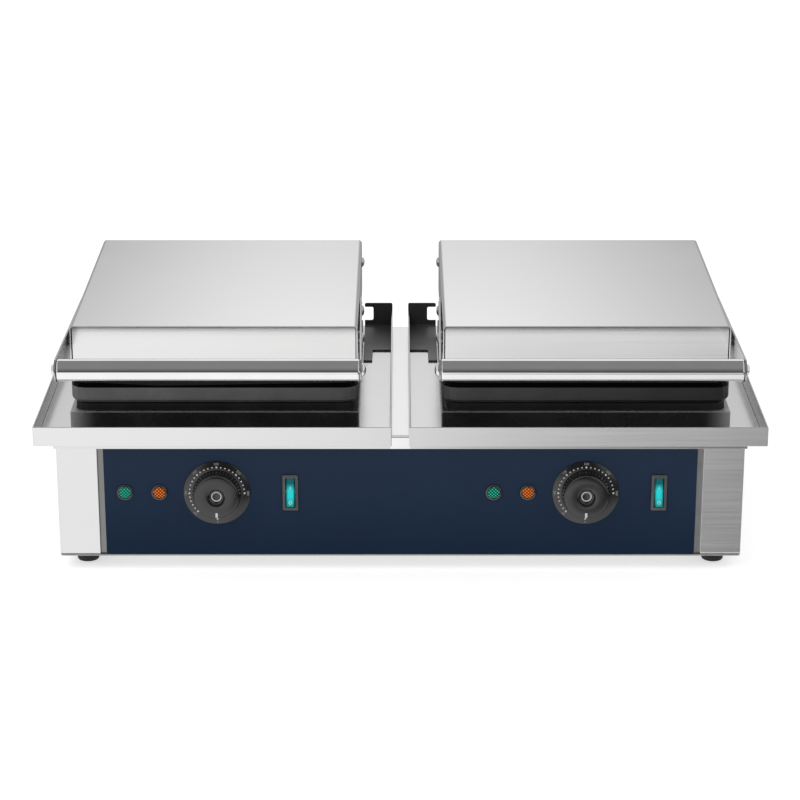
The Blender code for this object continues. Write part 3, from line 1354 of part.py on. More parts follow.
def make_lid(side_name, side, machine):
    """The hinged pieces of one cooking unit, all carried by an empty on the hinge axis."""
    x = side * UNIT_X
    axis = empty(side_name + "_lid_axis", (x, HINGE_Y, HINGE_Z))
    make_lid_shell(side_name + "_lid_shell", x, axis)
    make_upper_plate(side_name + "_upper_baking_plate", x, axis)
    upper_z = UPPER_PLATE_BACK_Z + SEAT_GAP + HEATER_RADIUS
    make_heater(side_name + "_upper_heating_element", x, upper_z, axis)
    make_shield(side_name + "_lid_heat_shield", x, axis)
    make_yoke(side_name + "_lid_hinge_yoke", x, axis)
    make_arm(side_name + "_lid_left_arm", x, -1, axis)
    make_arm(side_name + "_lid_right_arm", x, 1, axis)
    make_handle(side_name + "_handle", x, axis)
    hang(axis, machine)


def make_machine():
    """Build every piece and shift the whole to its frame."""
    machine = empty("machine_frame", (0, 0, 0))
    make_feet(machine)
    make_bottom_plate(machine)
    make_housing(machine)
    make_control_panel(machine)
    make_rear_panel(machine)
    make_top_deck(machine)
    make_deck_band(machine)
    make_cable_gland(machine)
    make_terminal_block(machine)
    for side_name, side in unit_sides():
        make_controls(side_name, side, machine)
        make_unit_base(side_name, side, machine)
        make_lid(side_name, side, machine)
    machine.location.y = FRAME_SHIFT_Y


clear_scene()
PARTS = new_collection(MACHINE_NAME)
CUTTERS = new_collection(MACHINE_NAME + "_cutters")
make_machine()
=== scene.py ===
"""Looks of the double waffle maker: finer pieces, procedural materials, floor, light and camera."""

import math

import bmesh
import bpy
from mathutils import Matrix, Vector
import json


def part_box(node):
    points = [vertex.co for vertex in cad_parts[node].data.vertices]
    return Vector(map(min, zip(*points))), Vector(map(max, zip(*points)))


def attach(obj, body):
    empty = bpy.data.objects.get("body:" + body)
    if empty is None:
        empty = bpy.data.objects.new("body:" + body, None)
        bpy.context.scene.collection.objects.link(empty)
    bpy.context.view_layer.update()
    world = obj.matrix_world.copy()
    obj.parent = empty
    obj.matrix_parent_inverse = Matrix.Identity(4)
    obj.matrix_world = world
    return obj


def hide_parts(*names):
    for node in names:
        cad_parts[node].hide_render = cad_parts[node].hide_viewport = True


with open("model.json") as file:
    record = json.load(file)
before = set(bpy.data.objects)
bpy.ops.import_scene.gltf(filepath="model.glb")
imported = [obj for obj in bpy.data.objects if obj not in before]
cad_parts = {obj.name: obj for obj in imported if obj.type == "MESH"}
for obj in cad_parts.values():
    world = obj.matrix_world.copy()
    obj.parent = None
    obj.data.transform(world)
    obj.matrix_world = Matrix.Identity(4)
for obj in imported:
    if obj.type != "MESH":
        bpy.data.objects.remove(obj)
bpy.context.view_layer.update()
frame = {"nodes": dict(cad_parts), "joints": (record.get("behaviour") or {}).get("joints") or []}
NODES = frame["nodes"]

UNIT_NAMES = ("left", "right")
AXIS_TO_SIDE = {-1: "-X", 1: "X"}

# The camera that the photograph's edges give: metres before the trays' front, aside and up
CAMERA_BEFORE_TRAYS = 2.03675
CAMERA_X = -0.0003
CAMERA_HEIGHT = 0.881
CAMERA_TILT = math.radians(70.7)
CAMERA_LENS = 115.83
SENSOR_WIDTH = 36.0

# Sizes of the pieces made here, in metres. Places come from the CAD nodes' boxes.
SHEET = 0.0012
LID_BEND = 0.0032
LID_RECESS = 0.0013
LID_BACK_RECESS = 0.0005
LID_SEAM = 0.0006
LID_TURN_IN = 0.010
ARM_SHEET = 0.0016
ARM_STAND_OFF = 0.0024
BOLT_RADIUS = 0.0045
LID_BOLT_HEIGHT = 0.0024
ARM_BOLT_HEIGHT = 0.0018
BOSS_RADIUS = 0.0060
WASHER = 0.0005
HANDLE_STEPS = 64
HANDLE_EDGE = 0.0007
HANDLE_END_RING = 0.0008
NUT_RADIUS = 0.0050
DIAL_BORE = 0.006
DIAL_EDGE = 0.0006
DIAL_DOT_RADIUS = 0.0237
MAIN_DOT_SIZE = 0.00088
DOT_SIZE = 0.00064
DIAL_NUMBER_RADIUS = 0.0266
DIAL_CONE_RADIUS = 0.0212
DIAL_CONE_DROP = 0.0012
NUMBER_SIZE = 0.0030
KNOB_DISH = 0.0026
KNOB_SHOULDER = 0.0172
KNOB_ROUNDING = 0.0022
KNOB_CONE_RADIUS = 0.0088
KNOB_CONE_DROP = 0.0011
POINTER_TIP = 0.0186
POINTER_HALF_LENGTH = 0.00215
POINTER_HALF_WIDTH = 0.00095
GROOVE_WIDTH = 0.0049
LAMP_RING = 0.0020
SWITCH_SHELL = (0.0057, 0.0148, 0.0004)
SWITCH_WELL = 0.0115
ROCKER_HALF = 0.0125
ROCKER_HALF_WIDTH = 0.0034
ROCKER_TILT = math.radians(8)
SCREW_RADIUS = 0.0030
SCREW_HEIGHT = 0.0014
WELD_REACH = 0.00001

# Light: what the floor adds for the camera alone, and what the world gives matt surfaces
FLOOR_GLOW = 0.545
WORLD_LIGHT = 0.62
# How far the mirrored room's middle lies to the left, as part of a direction
ROOM_SHIFT = 0.012


def centre_of(node):
    """Middle of a CAD node's box."""
    low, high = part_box(node)
    return (low + high) / 2


class Graph:
    """A node tree under construction: adds nodes and links by short calls."""

    def __init__(self, tree):
        self.tree = tree

    def add(self, kind, **values):
        node = self.tree.nodes.new(kind)
        for key, value in values.items():
            setattr(node, key, value)
        return node

    def fill(self, node, values):
        """Give input sockets a value of their own or a link from another node's output."""
        for socket, value in values.items():
            if isinstance(value, (int, float, tuple)):
                node.inputs[socket].default_value = value
            else:
                self.tree.links.new(value, node.inputs[socket])

    def math(self, operation, first, second=None):
        node = self.add("ShaderNodeMath", operation=operation)
        self.fill(node, {0: first} if second is None else {0: first, 1: second})
        return node.outputs["Value"]

    def spread(self, value, low, high, from_low=0.3, from_high=0.7, curve="LINEAR"):
        """Carry a value over from one range to another."""
        node = self.add("ShaderNodeMapRange", interpolation_type=curve)
        self.fill(node, {"Value": value, "From Min": from_low, "From Max": from_high})
        self.fill(node, {"To Min": low, "To Max": high})
        return node.outputs["Result"]

    def ramp(self, value, from_low, from_high, low, high):
        """A smooth step from low to high while the value rises from one place to another."""
        return self.spread(value, low, high, from_low, from_high, "SMOOTHSTEP")

    def blend(self, factor, first, second):
        """Two numbers mixed by a factor."""
        node = self.add("ShaderNodeMix", data_type="FLOAT")
        self.fill(node, {"Factor": factor, 2: first, 3: second})
        return node.outputs[0]


class Look(Graph):
    """A material under construction."""

    def __init__(self, name):
        self.material = bpy.data.materials.new(name)
        self.material.use_nodes = True
        super().__init__(self.material.node_tree)
        self.shader = self.tree.nodes["Principled BSDF"]
        self.coordinates = self.add("ShaderNodeTexCoord")

    def set(self, **values):
        """Values or links for the shader's inputs, by their names with underscores."""
        self.fill(self.shader, {key.replace("_", " "): value for key, value in values.items()})

    def noise(self, scale, detail):
        """Noise in the object's own coordinates, with a fineness for each axis."""
        mapping = self.add("ShaderNodeMapping")
        self.fill(mapping, {"Scale": scale, "Vector": self.coordinates.outputs["Object"]})
        node = self.add("ShaderNodeTexNoise")
        self.fill(node, {"Vector": mapping.outputs["Vector"], "Scale": 1.0})
        self.fill(node, {"Detail": detail, "Roughness": 0.55})
        return node.outputs["Fac"]

    def mix(self, factor, first, second):
        """Two colours mixed by a factor."""
        node = self.add("ShaderNodeMix", data_type="RGBA")
        self.fill(node, {"Factor": factor, 6: first, 7: second})
        return node.outputs[2]

    def bump(self, height, distance, strength):
        node = self.add("ShaderNodeBump")
        self.fill(node, {"Strength": strength, "Distance": distance, "Height": height})
        self.set(Normal=node.outputs["Normal"])

    def axis(self, source, letter):
        """One part of the object's own coordinates or normal."""
        split = self.add("ShaderNodeSeparateXYZ")
        self.fill(split, {"Vector": self.coordinates.outputs[source]})
        return split.outputs[letter]

    def aside(self):
        """Distance from the middle plane between the two units."""
        return self.math("ABSOLUTE", self.axis("Object", "X"))

    def facing(self, letter):
        """1 where the surface faces along an axis, either way, from the object's own normal."""
        return self.math("GREATER_THAN", self.math("ABSOLUTE", self.axis("Normal", letter)), 0.75)

    def edge_mask(self, radius):
        """Rises towards 1 on sharp edges."""
        rounded = self.add("ShaderNodeBevel", samples=4)
        self.fill(rounded, {"Radius": radius})
        plain = self.add("ShaderNodeNewGeometry")
        product = self.add("ShaderNodeVectorMath", operation="DOT_PRODUCT")
        self.fill(product, {0: rounded.outputs["Normal"], 1: plain.outputs["Normal"]})
        return self.spread(product.outputs["Value"], 1.0, 0.0, 0.80, 0.99)


def grey(value):
    """An opaque grey."""
    return (value, value, value, 1.0)


def brushed_steel(name, light, dark, rough, rim=None, under_rim_shade=None):
    """Stainless sheet: fine lines along the piece, soft smudges, slightly uneven gloss.

    With a rim tone, the inner sides of the outer rims are darker: painted shade.
    With an under-rim shade tone, all but the strip between the trays is darker: painted shade under the tray
    rims.
    """
    n = Look(name)
    along = n.noise((9, 1400, 1400), 2.0)
    across = n.noise((1400, 9, 1400), 2.0)
    lines = n.blend(n.facing("X"), along, across)
    streak_along = n.noise((3, 160, 160), 3.0)
    streak_across = n.noise((160, 3, 160), 3.0)
    streaks = n.blend(n.facing("X"), streak_along, streak_across)
    smudge = n.noise((7, 9, 9), 4.0)
    tone = n.math("ADD", n.math("MULTIPLY", lines, 0.45), n.math("MULTIPLY", streaks, 0.15))
    tone = n.math("ADD", tone, n.math("MULTIPLY", smudge, 0.40))
    colour = n.mix(n.spread(tone, 0.0, 1.0, 0.30, 0.70), (*dark, 1.0), (*light, 1.0))
    # Painted shade: the inner sides of the outer rims are darkened to the rim tone.
    if rim:
        inner = n.math("LESS_THAN", n.math("MULTIPLY", n.axis("Normal", "X"), n.axis("Object", "X")), -0.20)
        colour = n.mix(inner, colour, grey(rim))
    # Painted shade under the tray rims: all but the strip between the trays is darker.
    if under_rim_shade:
        under = n.math("GREATER_THAN", n.aside(), 0.0085)
        colour = n.mix(under, colour, grey(under_rim_shade))
    n.set(Base_Color=colour)
    gloss = n.math("ADD", n.math("MULTIPLY", lines, 0.6), n.math("MULTIPLY", smudge, 0.4))
    gloss = n.spread(gloss, rough - 0.03, rough + 0.04)
    if rim:
        gloss = n.math("ADD", gloss, n.math("MULTIPLY", n.facing("Z"), 0.05))
        n.set(Specular_Tint=grey(0.75))
    n.set(Roughness=gloss, Metallic=1.0)
    n.bump(lines, 0.00001, 0.08)
    return n.material


def chrome(name):
    """Polished tube: nearly a mirror, with faint wipe marks."""
    n = Look(name)
    wipes = n.noise((14, 260, 260), 3.0)
    smudge = n.noise((22, 30, 30), 3.0)
    colour = n.mix(n.spread(smudge, 0.0, 1.0), (0.82, 0.82, 0.82, 1.0), (0.88, 0.88, 0.88, 1.0))
    n.set(Base_Color=colour, Roughness=n.spread(wipes, 0.05, 0.10), Metallic=1.0)
    n.bump(smudge, 0.00004, 0.15)
    return n.material


def plain_steel(name, level=0.46, rough=0.42):
    """Mill-finish steel of hinge parts, with rolled grain, light oxide and rubbed edges."""
    n = Look(name)
    patches = n.noise((60, 60, 60), 5.0)
    grain = n.noise((900, 120, 900), 2.0)
    tone = n.math("ADD", n.math("MULTIPLY", patches, 0.6), n.math("MULTIPLY", grain, 0.4))
    body = n.mix(n.spread(tone, 0.0, 1.0), grey(level * 0.78), grey(level * 1.1))
    colour = n.mix(n.edge_mask(0.0006), body, grey(level * 1.45))
    n.set(Base_Color=colour, Roughness=n.spread(tone, rough - 0.08, rough + 0.12), Metallic=1.0)
    n.bump(grain, 0.00003, 0.5)
    return n.material


def navy_paint(name):
    """Satin navy paint with a faint orange-peel surface and light dust."""
    n = Look(name)
    peel = n.noise((700, 700, 700), 2.0)
    cloud = n.noise((12, 12, 12), 4.0)
    rise = n.spread(n.axis("Object", "Z"), 0.0, 0.88, 0.02, 0.113)
    tone = n.math("ADD", n.math("MULTIPLY", n.spread(cloud, 0.0, 1.0), 0.12), rise)
    colour = n.mix(tone, (0.0060, 0.0195, 0.0480, 1.0), (0.0230, 0.0425, 0.0850, 1.0))
    n.set(Base_Color=n.mix(n.edge_mask(0.0005), colour, (0.06, 0.08, 0.13, 1.0)))
    n.set(Roughness=n.spread(cloud, 0.42, 0.54), Specular_IOR_Level=0.12)
    n.bump(peel, 0.00003, 0.4)
    return n.material


def cast_black(name, side_low, side_high, shade_height=None):
    """Casting: bare sandy sides, a darker non-stick coating on level faces, wear on the edges.

    With a shade height, the sides above it are painted shade under the lid, and below it they darken from
    left to right as painted shade.
    """
    n = Look(name)
    sand = n.noise((1500, 1500, 1500), 3.0)
    blotch = n.noise((45, 45, 45), 5.0)
    tone = n.math("ADD", n.math("MULTIPLY", sand, 0.35), n.math("MULTIPLY", blotch, 0.65))
    grain = n.spread(tone, 0.0, 1.0)
    level = n.facing("Z")
    side = n.mix(grain, grey(side_low), grey(side_high))
    coat = n.mix(grain, grey(0.006), grey(0.016))
    # Painted shade: the sides darken from left to right across the machine.
    if shade_height:
        side = n.mix(n.spread(n.axis("Object", "X"), 0.0, 0.90, -0.28, 0.28), side, grey(0.006))
    body = n.mix(n.edge_mask(0.0008), n.mix(level, side, coat), grey(0.10))
    # Painted shade under the lid: above the shade height the sides are near black and metallic, so they
    # mirror nothing bright.
    if shade_height:
        under_lid_shade = n.spread(n.axis("Object", "Z"), 0.0, 1.0, shade_height - 0.0003, shade_height)
        body = n.mix(under_lid_shade, body, grey(0.004))
        n.set(Metallic=n.math("MULTIPLY", under_lid_shade, n.math("SUBTRACT", 1.0, level)))
    n.set(Base_Color=body)
    duller = n.math("MULTIPLY", level, 0.24)
    n.set(Roughness=n.math("ADD", n.spread(tone, 0.40, 0.54), duller), Specular_IOR_Level=0.35)
    n.bump(sand, 0.00008, 0.6)
    return n.material


def satin_black(name, rough, low, high, edge_wear_and_highlight=0.22, foot=False):
    """Black-coated sheet: even satin, fine powder texture, lighter edges: thin wear, and a painted highlight
    where the edge tone is high.

    With a foot, the part of a bracket that lies on the tray is lighter towards its front: painted reflection.
    Otherwise the outer ends are greyer than the rest: painted light.
    """
    n = Look(name)
    powder = n.noise((1100, 1100, 1100), 2.0)
    cloud = n.noise((30, 30, 30), 3.0)
    body = n.mix(n.spread(cloud, 0.0, 1.0), grey(low), grey(high))
    if foot:
        near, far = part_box("left_notched_bracket")
        # Painted reflection: the foot is dark near the upright and lighter towards its front.
        painted_reflection = n.spread(n.axis("Object", "Y"), 1.0, 0.0, near.y, near.y + (far.y - near.y) * 0.45)
        on_tray = n.math("LESS_THAN", n.axis("Object", "Z"), near.z + 0.0030)
        body = n.mix(n.math("MULTIPLY", painted_reflection, on_tray), body, grey(0.26))
    else:
        # Painted light: the outer ends of the plate surrounds are lighter.
        painted_end_light = n.spread(n.aside(), 0.0, 1.0, 0.258, 0.282)
        body = n.mix(n.math("MULTIPLY", painted_end_light, painted_end_light), body, grey(0.33))
    n.set(Base_Color=n.mix(n.edge_mask(0.0018), body, grey(edge_wear_and_highlight)))
    n.set(Roughness=n.spread(cloud, rough - 0.05, rough + 0.08))
    n.bump(powder, 0.00004, 0.35)
    return n.material


def black_plastic(name, level=0.016, rough=0.40, gloss=0.5):
    """Moulded black plastic with a fine spark-eroded texture."""
    n = Look(name)
    spark = n.noise((1600, 1600, 1600), 2.0)
    cloud = n.noise((50, 50, 50), 3.0)
    n.set(Base_Color=n.mix(n.spread(cloud, 0.0, 1.0), grey(level * 0.8), grey(level * 1.3)))
    n.set(Roughness=n.spread(spark, rough - 0.05, rough + 0.05), Specular_IOR_Level=gloss)
    n.bump(spark, 0.00004, 0.12)
    return n.material


def rubber(name):
    """Matt rubber, slightly dusty."""
    n = Look(name)
    dust = n.noise((260, 260, 260), 5.0)
    n.set(Base_Color=n.mix(n.spread(dust, 0.0, 1.0), grey(0.012), grey(0.032)))
    n.set(Roughness=n.spread(dust, 0.62, 0.85))
    n.bump(dust, 0.00010, 0.4)
    return n.material


def lens(name, deep, bright, glow, strength):
    """A lit lens with a pattern of small facets."""
    n = Look(name)
    turn = n.add("ShaderNodeMapping")
    n.fill(turn, {"Scale": (500, 500, 500), "Rotation": (math.radians(90), 0, math.radians(45)),
                  "Vector": n.coordinates.outputs["Object"]})
    cells = n.add("ShaderNodeTexVoronoi", voronoi_dimensions="2D", feature="F1")
    n.fill(cells, {"Scale": 1.0, "Randomness": 0.0, "Vector": turn.outputs["Vector"]})
    facet = n.spread(cells.outputs["Distance"], 1.0, 0.0, 0.16, 0.40)
    n.set(Base_Color=n.mix(facet, (*deep, 1.0), (*bright, 1.0)))
    n.set(Emission_Color=n.mix(facet, (*glow, 1.0), (*bright, 1.0)))
    n.set(Emission_Strength=strength, Roughness=0.30, Specular_IOR_Level=0.08)
    n.bump(facet, 0.00012, 0.5)
    return n.material


def teal_rocker(name, node):
    """Translucent teal rocker lit from a lamp behind it, with painted shade: darker at its ends, most at its
    top end, and at its sides.
    """
    n = Look(name)
    middle = centre_of(node)
    grain = n.noise((500, 500, 500), 2.0)
    cloud = n.noise((90, 90, 60), 3.0)
    height = n.axis("Object", "Z")
    # Painted shade: the upper end is dark, the lower end and the sides less so.
    upper = n.spread(height, 1.0, 0.10, middle.z + 0.0020, middle.z + 0.0085)
    lower = n.spread(height, 0.35, 1.0, middle.z - 0.0120, middle.z - 0.0035)
    aside = n.math("ABSOLUTE", n.math("SUBTRACT", n.axis("Object", "X"), middle.x))
    lit = n.math("MULTIPLY", n.math("MULTIPLY", upper, lower), n.spread(aside, 1.0, 0.30, 0.0018, 0.0034))
    lit = n.math("MULTIPLY", lit, n.spread(cloud, 0.85, 1.0))
    colour = n.mix(lit, (0.001, 0.050, 0.055, 1.0), (0.020, 0.56, 0.57, 1.0))
    n.set(Base_Color=colour, Roughness=n.spread(grain, 0.30, 0.42), Emission_Color=colour)
    n.set(Emission_Strength=0.5, Specular_IOR_Level=0.12)
    n.bump(grain, 0.00003, 0.3)
    return n.material


def print_ink(name, level):
    """Printed marking, slightly uneven like a screen print."""
    n = Look(name)
    patch = n.noise((900, 900, 900), 3.0)
    n.set(Base_Color=n.mix(n.spread(patch, 0.0, 1.0), grey(level * 0.85), grey(level)))
    n.set(Roughness=n.spread(patch, 0.45, 0.6))
    return n.material


def heater_metal(name):
    """Sheathed element: brown-grey oxide with heat tints."""
    n = Look(name)
    tint = n.noise((40, 40, 40), 5.0)
    speck = n.noise((900, 900, 900), 2.0)
    colour = n.mix(n.spread(tint, 0.0, 1.0), (0.11, 0.095, 0.085, 1.0), (0.24, 0.21, 0.19, 1.0))
    n.set(Base_Color=colour, Roughness=n.spread(speck, 0.42, 0.6), Metallic=1.0)
    n.bump(speck, 0.00005, 0.5)
    return n.material


def ceramic(name):
    """Glazed white insulator with faint speckle."""
    n = Look(name)
    speck = n.noise((400, 400, 400), 4.0)
    colour = n.mix(n.spread(speck, 0.0, 1.0), (0.60, 0.57, 0.51, 1.0), (0.74, 0.72, 0.67, 1.0))
    n.set(Base_Color=colour, Roughness=n.spread(speck, 0.25, 0.4))
    n.bump(speck, 0.00005, 0.3)
    return n.material


LOOKS = {
    "sheet": brushed_steel("brushed_sheet", (0.785, 0.785, 0.78), (0.755, 0.76, 0.755), 0.16),
    "lid": brushed_steel("brushed_lid", (0.79, 0.79, 0.785), (0.75, 0.755, 0.75), 0.14),
    # The tray's outer rims carry painted shade on their inner sides.
    "tray": brushed_steel("brushed_tray", (0.80, 0.80, 0.795), (0.765, 0.77, 0.765), 0.15, rim=0.52),
    "arm": brushed_steel("brushed_arm", (0.52, 0.52, 0.515), (0.42, 0.425, 0.42), 0.20),
    # The band is painted light, much lighter than the other sheet, in the strip between the trays, with
    # painted shade under the tray rims.
    "band": brushed_steel("brushed_band", (0.97, 0.97, 0.965), (0.94, 0.945, 0.94), 0.09, under_rim_shade=0.74),
    # Painted shade: the dark steel of the strips in the gaps beside the control panel.
    "groove_shade": plain_steel("groove_shade_steel", 0.30, 0.34),
    "chrome": chrome("polished_chrome"),
    "plain": plain_steel("mill_steel"),
    "screw": plain_steel("screw_steel", 0.62, 0.28),
    "navy": navy_paint("navy_satin_paint"),
    # The lower castings' sides are painted shade, as dark as their coating, for the gap they stand in under
    # the upper castings.
    "cast_lower": cast_black("coated_lower_casting", 0.008, 0.016),
    # The upper castings' sides carry painted shade under the lid and towards the right.
    "cast_upper": cast_black("coated_upper_casting", 0.105, 0.165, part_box("left_lid_shell")[0].z - 0.0038),
    # The surrounds' light edge tone is a painted highlight along their edges, over thin wear.
    "satin": satin_black("black_coated_sheet", 0.24, 0.012, 0.020, edge_wear_and_highlight=0.42),
    "bracket": satin_black("black_coated_bracket", 0.44, 0.050, 0.070, edge_wear_and_highlight=0.10, foot=True),
    "plastic": black_plastic("moulded_black"),
    "dial": black_plastic("dial_black", 0.004, 0.19, 0.85),
    "knob": black_plastic("knob_black", 0.004, 0.19, 0.85),
    "lamp_ring": black_plastic("lamp_ring_black", 0.010, 0.19, 1.0),
    "bezel": black_plastic("bezel_grey", 0.085, 0.36),
    "rubber": rubber("foot_rubber"),
    "green": lens("green_lens", (0.001, 0.060, 0.035), (0.040, 0.66, 0.46), (0.001, 0.040, 0.024), 0.30),
    "orange": lens("orange_lens", (0.17, 0.012, 0.003), (1.0, 0.32, 0.050), (0.17, 0.012, 0.003), 0.30),
    "left_teal": teal_rocker("left_teal_rocker", "left_rocker"),
    "right_teal": teal_rocker("right_teal_rocker", "right_rocker"),
    "white": print_ink("white_print", 0.86),
    "grey": print_ink("grey_print", 0.42),
    "heater": heater_metal("oxidised_sheath"),
    "ceramic": ceramic("glazed_insulator"),
}


def dress(item, look):
    """Give a piece its one material."""
    item.data.materials.clear()
    item.data.materials.append(LOOKS[look])


def settle(item, look, body, angle=35, bevel=0.0):
    """Give a new piece its material, shading, rounded edges and body."""
    dress(item, look)
    item.data.shade_smooth()
    item.data.set_sharp_from_angle(angle=math.radians(angle))
    if bevel:
        round_edges(item, bevel)
    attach(item, body)
    return item


def round_edges(item, width, segments=2):
    """Break the sharp edges of a piece."""
    modifier = item.modifiers.new("edges", "BEVEL")
    modifier.width = width
    modifier.segments = segments
    modifier.limit_method = "ANGLE"
    modifier.angle_limit = math.radians(32)
    modifier.harden_normals = True


def from_bmesh(name, shape):
    """Link a bmesh to the scene as an object."""
    bmesh.ops.recalc_face_normals(shape, faces=shape.faces)
    mesh = bpy.data.meshes.new(name)
    shape.to_mesh(mesh)
    shape.free()
    item = bpy.data.objects.new(name, mesh)
    bpy.context.scene.collection.objects.link(item)
    return item


def rounded_path(corners, steps=8):
    """Closed path through (a, b, radius) corners, each rounded by its radius."""
    path = []
    count = len(corners)
    for number in range(count):
        here = Vector(corners[number][:2])
        radius = corners[number][2]
        before = Vector(corners[number - 1][:2]) - here
        after = Vector(corners[(number + 1) % count][:2]) - here
        angle = before.angle(after)
        reach = radius / math.tan(angle / 2) if radius else 0
        reach = min(reach, before.length * 0.499, after.length * 0.499)
        if reach < 1e-6:
            path.append(here)
            continue
        radius = reach * math.tan(angle / 2)
        start = here + before.normalized() * reach
        end = here + after.normalized() * reach
        halfway = (before.normalized() + after.normalized()).normalized()
        middle = here + halfway * (radius / math.sin(angle / 2))
        first = start - middle
        turn = first.angle_signed(end - middle) * -1
        for step in range(steps + 1):
            part = turn * step / steps
            path.append(middle + Matrix.Rotation(part, 2) @ first)
    return path


def rounded_box(x, z, half_x, half_z, radius, steps):
    """Closed rectangle about a middle, all its corners rounded alike."""
    return rounded_path([(x + a * half_x, z + b * half_z, radius)
                         for a, b in ((-1, -1), (1, -1), (1, 1), (-1, 1))], steps)


def prism(shape, path, axes, low, high):
    """Add a closed prism to a bmesh: a path in two axes, run from low to high on the third."""
    first, second, third = axes
    rings = []
    for level in (low, high):
        ring = []
        for point in path:
            place = [0, 0, 0]
            place[first] = point[0]
            place[second] = point[1]
            place[third] = level
            ring.append(shape.verts.new(place))
        rings.append(ring)
    shape.faces.new(rings[0])
    shape.faces.new(list(reversed(rings[1])))
    join_rings(shape, rings[0], rings[1])


def join_rings(shape, first, second):
    """A band of faces between two rings of as many points."""
    count = len(first)
    for number in range(count):
        following = (number + 1) % count
        shape.faces.new((first[number], second[number], second[following], first[following]))


def turned(shape, profile, place, axis, steps=48, closed=False):
    """Add a body of revolution to a bmesh: (radius, height) points about an axis through place."""
    rings = []
    for radius, height in profile:
        if radius < 1e-7:
            rings.append([shape.verts.new(spun(0, 0, height, place, axis))])
            continue
        ring = []
        for step in range(steps):
            angle = 2 * math.pi * step / steps
            ring.append(shape.verts.new(spun(radius, angle, height, place, axis)))
        rings.append(ring)
    pairs = list(zip(rings, rings[1:]))
    if closed:
        pairs.append((rings[-1], rings[0]))
    for low, high in pairs:
        for step in range(steps):
            following = (step + 1) % steps
            if len(low) == 1:
                shape.faces.new((low[0], high[step], high[following]))
            elif len(high) == 1:
                shape.faces.new((low[step], high[0], low[following]))
            else:
                shape.faces.new((low[step], high[step], high[following], low[following]))


def spun(radius, angle, height, place, axis):
    """One point of a revolved shape. The axis is a sign and a letter, such as -Y."""
    a = radius * math.cos(angle)
    b = radius * math.sin(angle)
    sign = -1 if axis[0] == "-" else 1
    if axis[-1] == "X":
        local = Vector((sign * height, a, b))
    elif axis[-1] == "Y":
        local = Vector((a, sign * height, b))
    else:
        local = Vector((a, b, sign * height))
    return local + Vector(place)


def dome(radius, height, steps=6):
    """Profile of a shallow dome, from its rim to its top."""
    points = []
    for step in range(steps + 1):
        angle = math.pi / 2 * step / steps
        points.append((radius * math.cos(angle) if step < steps else 0, height * math.sin(angle)))
    return points


def keep(node, look, bevel=0.0004, segments=2):
    """Give a CAD node its material and break its edges."""
    item = NODES[node]
    dress(item, look)
    item.modifiers.new("weld", "WELD").merge_threshold = WELD_REACH
    if bevel:
        round_edges(item, bevel, segments)


def dress_kept_nodes():
    """Looks of the CAD nodes that show as they are."""
    keep("base_housing", "sheet", 0.0012, 3)
    keep("bottom_plate", "plain")
    keep("rear_panel", "sheet")
    keep("control_panel", "navy", 0.0006)
    keep("top_deck", "sheet", 0.0003)
    keep("deck_edge_band", "band", 0.0003)
    keep("cable_gland", "plastic")
    keep("terminal_block", "ceramic")
    for unit in UNIT_NAMES:
        keep(unit + "_tray", "tray")
        keep(unit + "_plate_surround", "satin")
        keep(unit + "_lower_baking_plate", "cast_lower", 0.0005)
        keep(unit + "_upper_baking_plate", "cast_upper", 0.0005)
        keep(unit + "_lower_heating_element", "heater", 0)
        keep(unit + "_upper_heating_element", "heater", 0)
        keep(unit + "_hinge_bracket", "plain")
        keep(unit + "_hinge_pin", "screw")
        keep(unit + "_lid_hinge_yoke", "plain")
        keep(unit + "_lid_heat_shield", "plain", 0.0002)
        keep(unit + "_notched_bracket", "bracket", 0.0005)
        keep(unit + "_thermostat", "plastic")
        keep(unit + "_thermostat_shaft", "screw", 0)


def make_lid(unit):
    """Cover folded over the top and sides, with front and back panels set into it."""
    low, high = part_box(unit + "_lid_shell")
    body = unit + "_lid"
    middle = (low.x + high.x) / 2
    half = (high.x - low.x) / 2
    inner_half = half - SHEET
    outer = rounded_path(arch(middle, half, low.z, high.z, LID_BEND))
    inner = rounded_path(arch(middle, inner_half, low.z, high.z - SHEET, LID_BEND - SHEET))
    shape = bmesh.new()
    prism(shape, outer + list(reversed(inner)), (0, 2, 1), low.y, high.y)
    cover = settle(from_bmesh(unit + "_lid_cover", shape), "lid", body, bevel=0.00025)
    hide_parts(unit + "_lid_shell")
    for end, face, sign in (("front", low.y + LID_RECESS, 1), ("back", high.y - LID_BACK_RECESS, -1)):
        make_lid_panel(unit, end, middle, inner_half - LID_SEAM, low.z, high.z - SHEET - LID_SEAM, face, sign)
    make_lid_bolts(unit, middle, half, high)


def arch(middle, half, base, top, bend):
    """Corners of an outline with a flat base and two upper bends, from its lower left round to the right."""
    return [(middle - half, base, 0), (middle - half, top, bend),
            (middle + half, top, bend), (middle + half, base, 0)]


def make_lid_panel(unit, end, middle, half, base, top, face, sign):
    """A flat panel with rounded upper corners and edges turned inwards."""
    shape = bmesh.new()
    bend = LID_BEND - SHEET
    outline = arch(middle, half, base, top, bend)
    inset = arch(middle, half - SHEET, base, top - SHEET, bend / 2)
    prism(shape, rounded_path(outline), (0, 2, 1), face, face + sign * SHEET)
    flange = rounded_path(outline + list(reversed(inset)))
    prism(shape, flange, (0, 2, 1), face + sign * SHEET, face + sign * LID_TURN_IN)
    panel = settle(from_bmesh(unit + "_lid_" + end + "_panel", shape), "lid", unit + "_lid", bevel=0.0003)
    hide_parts(unit + "_lid_shell")


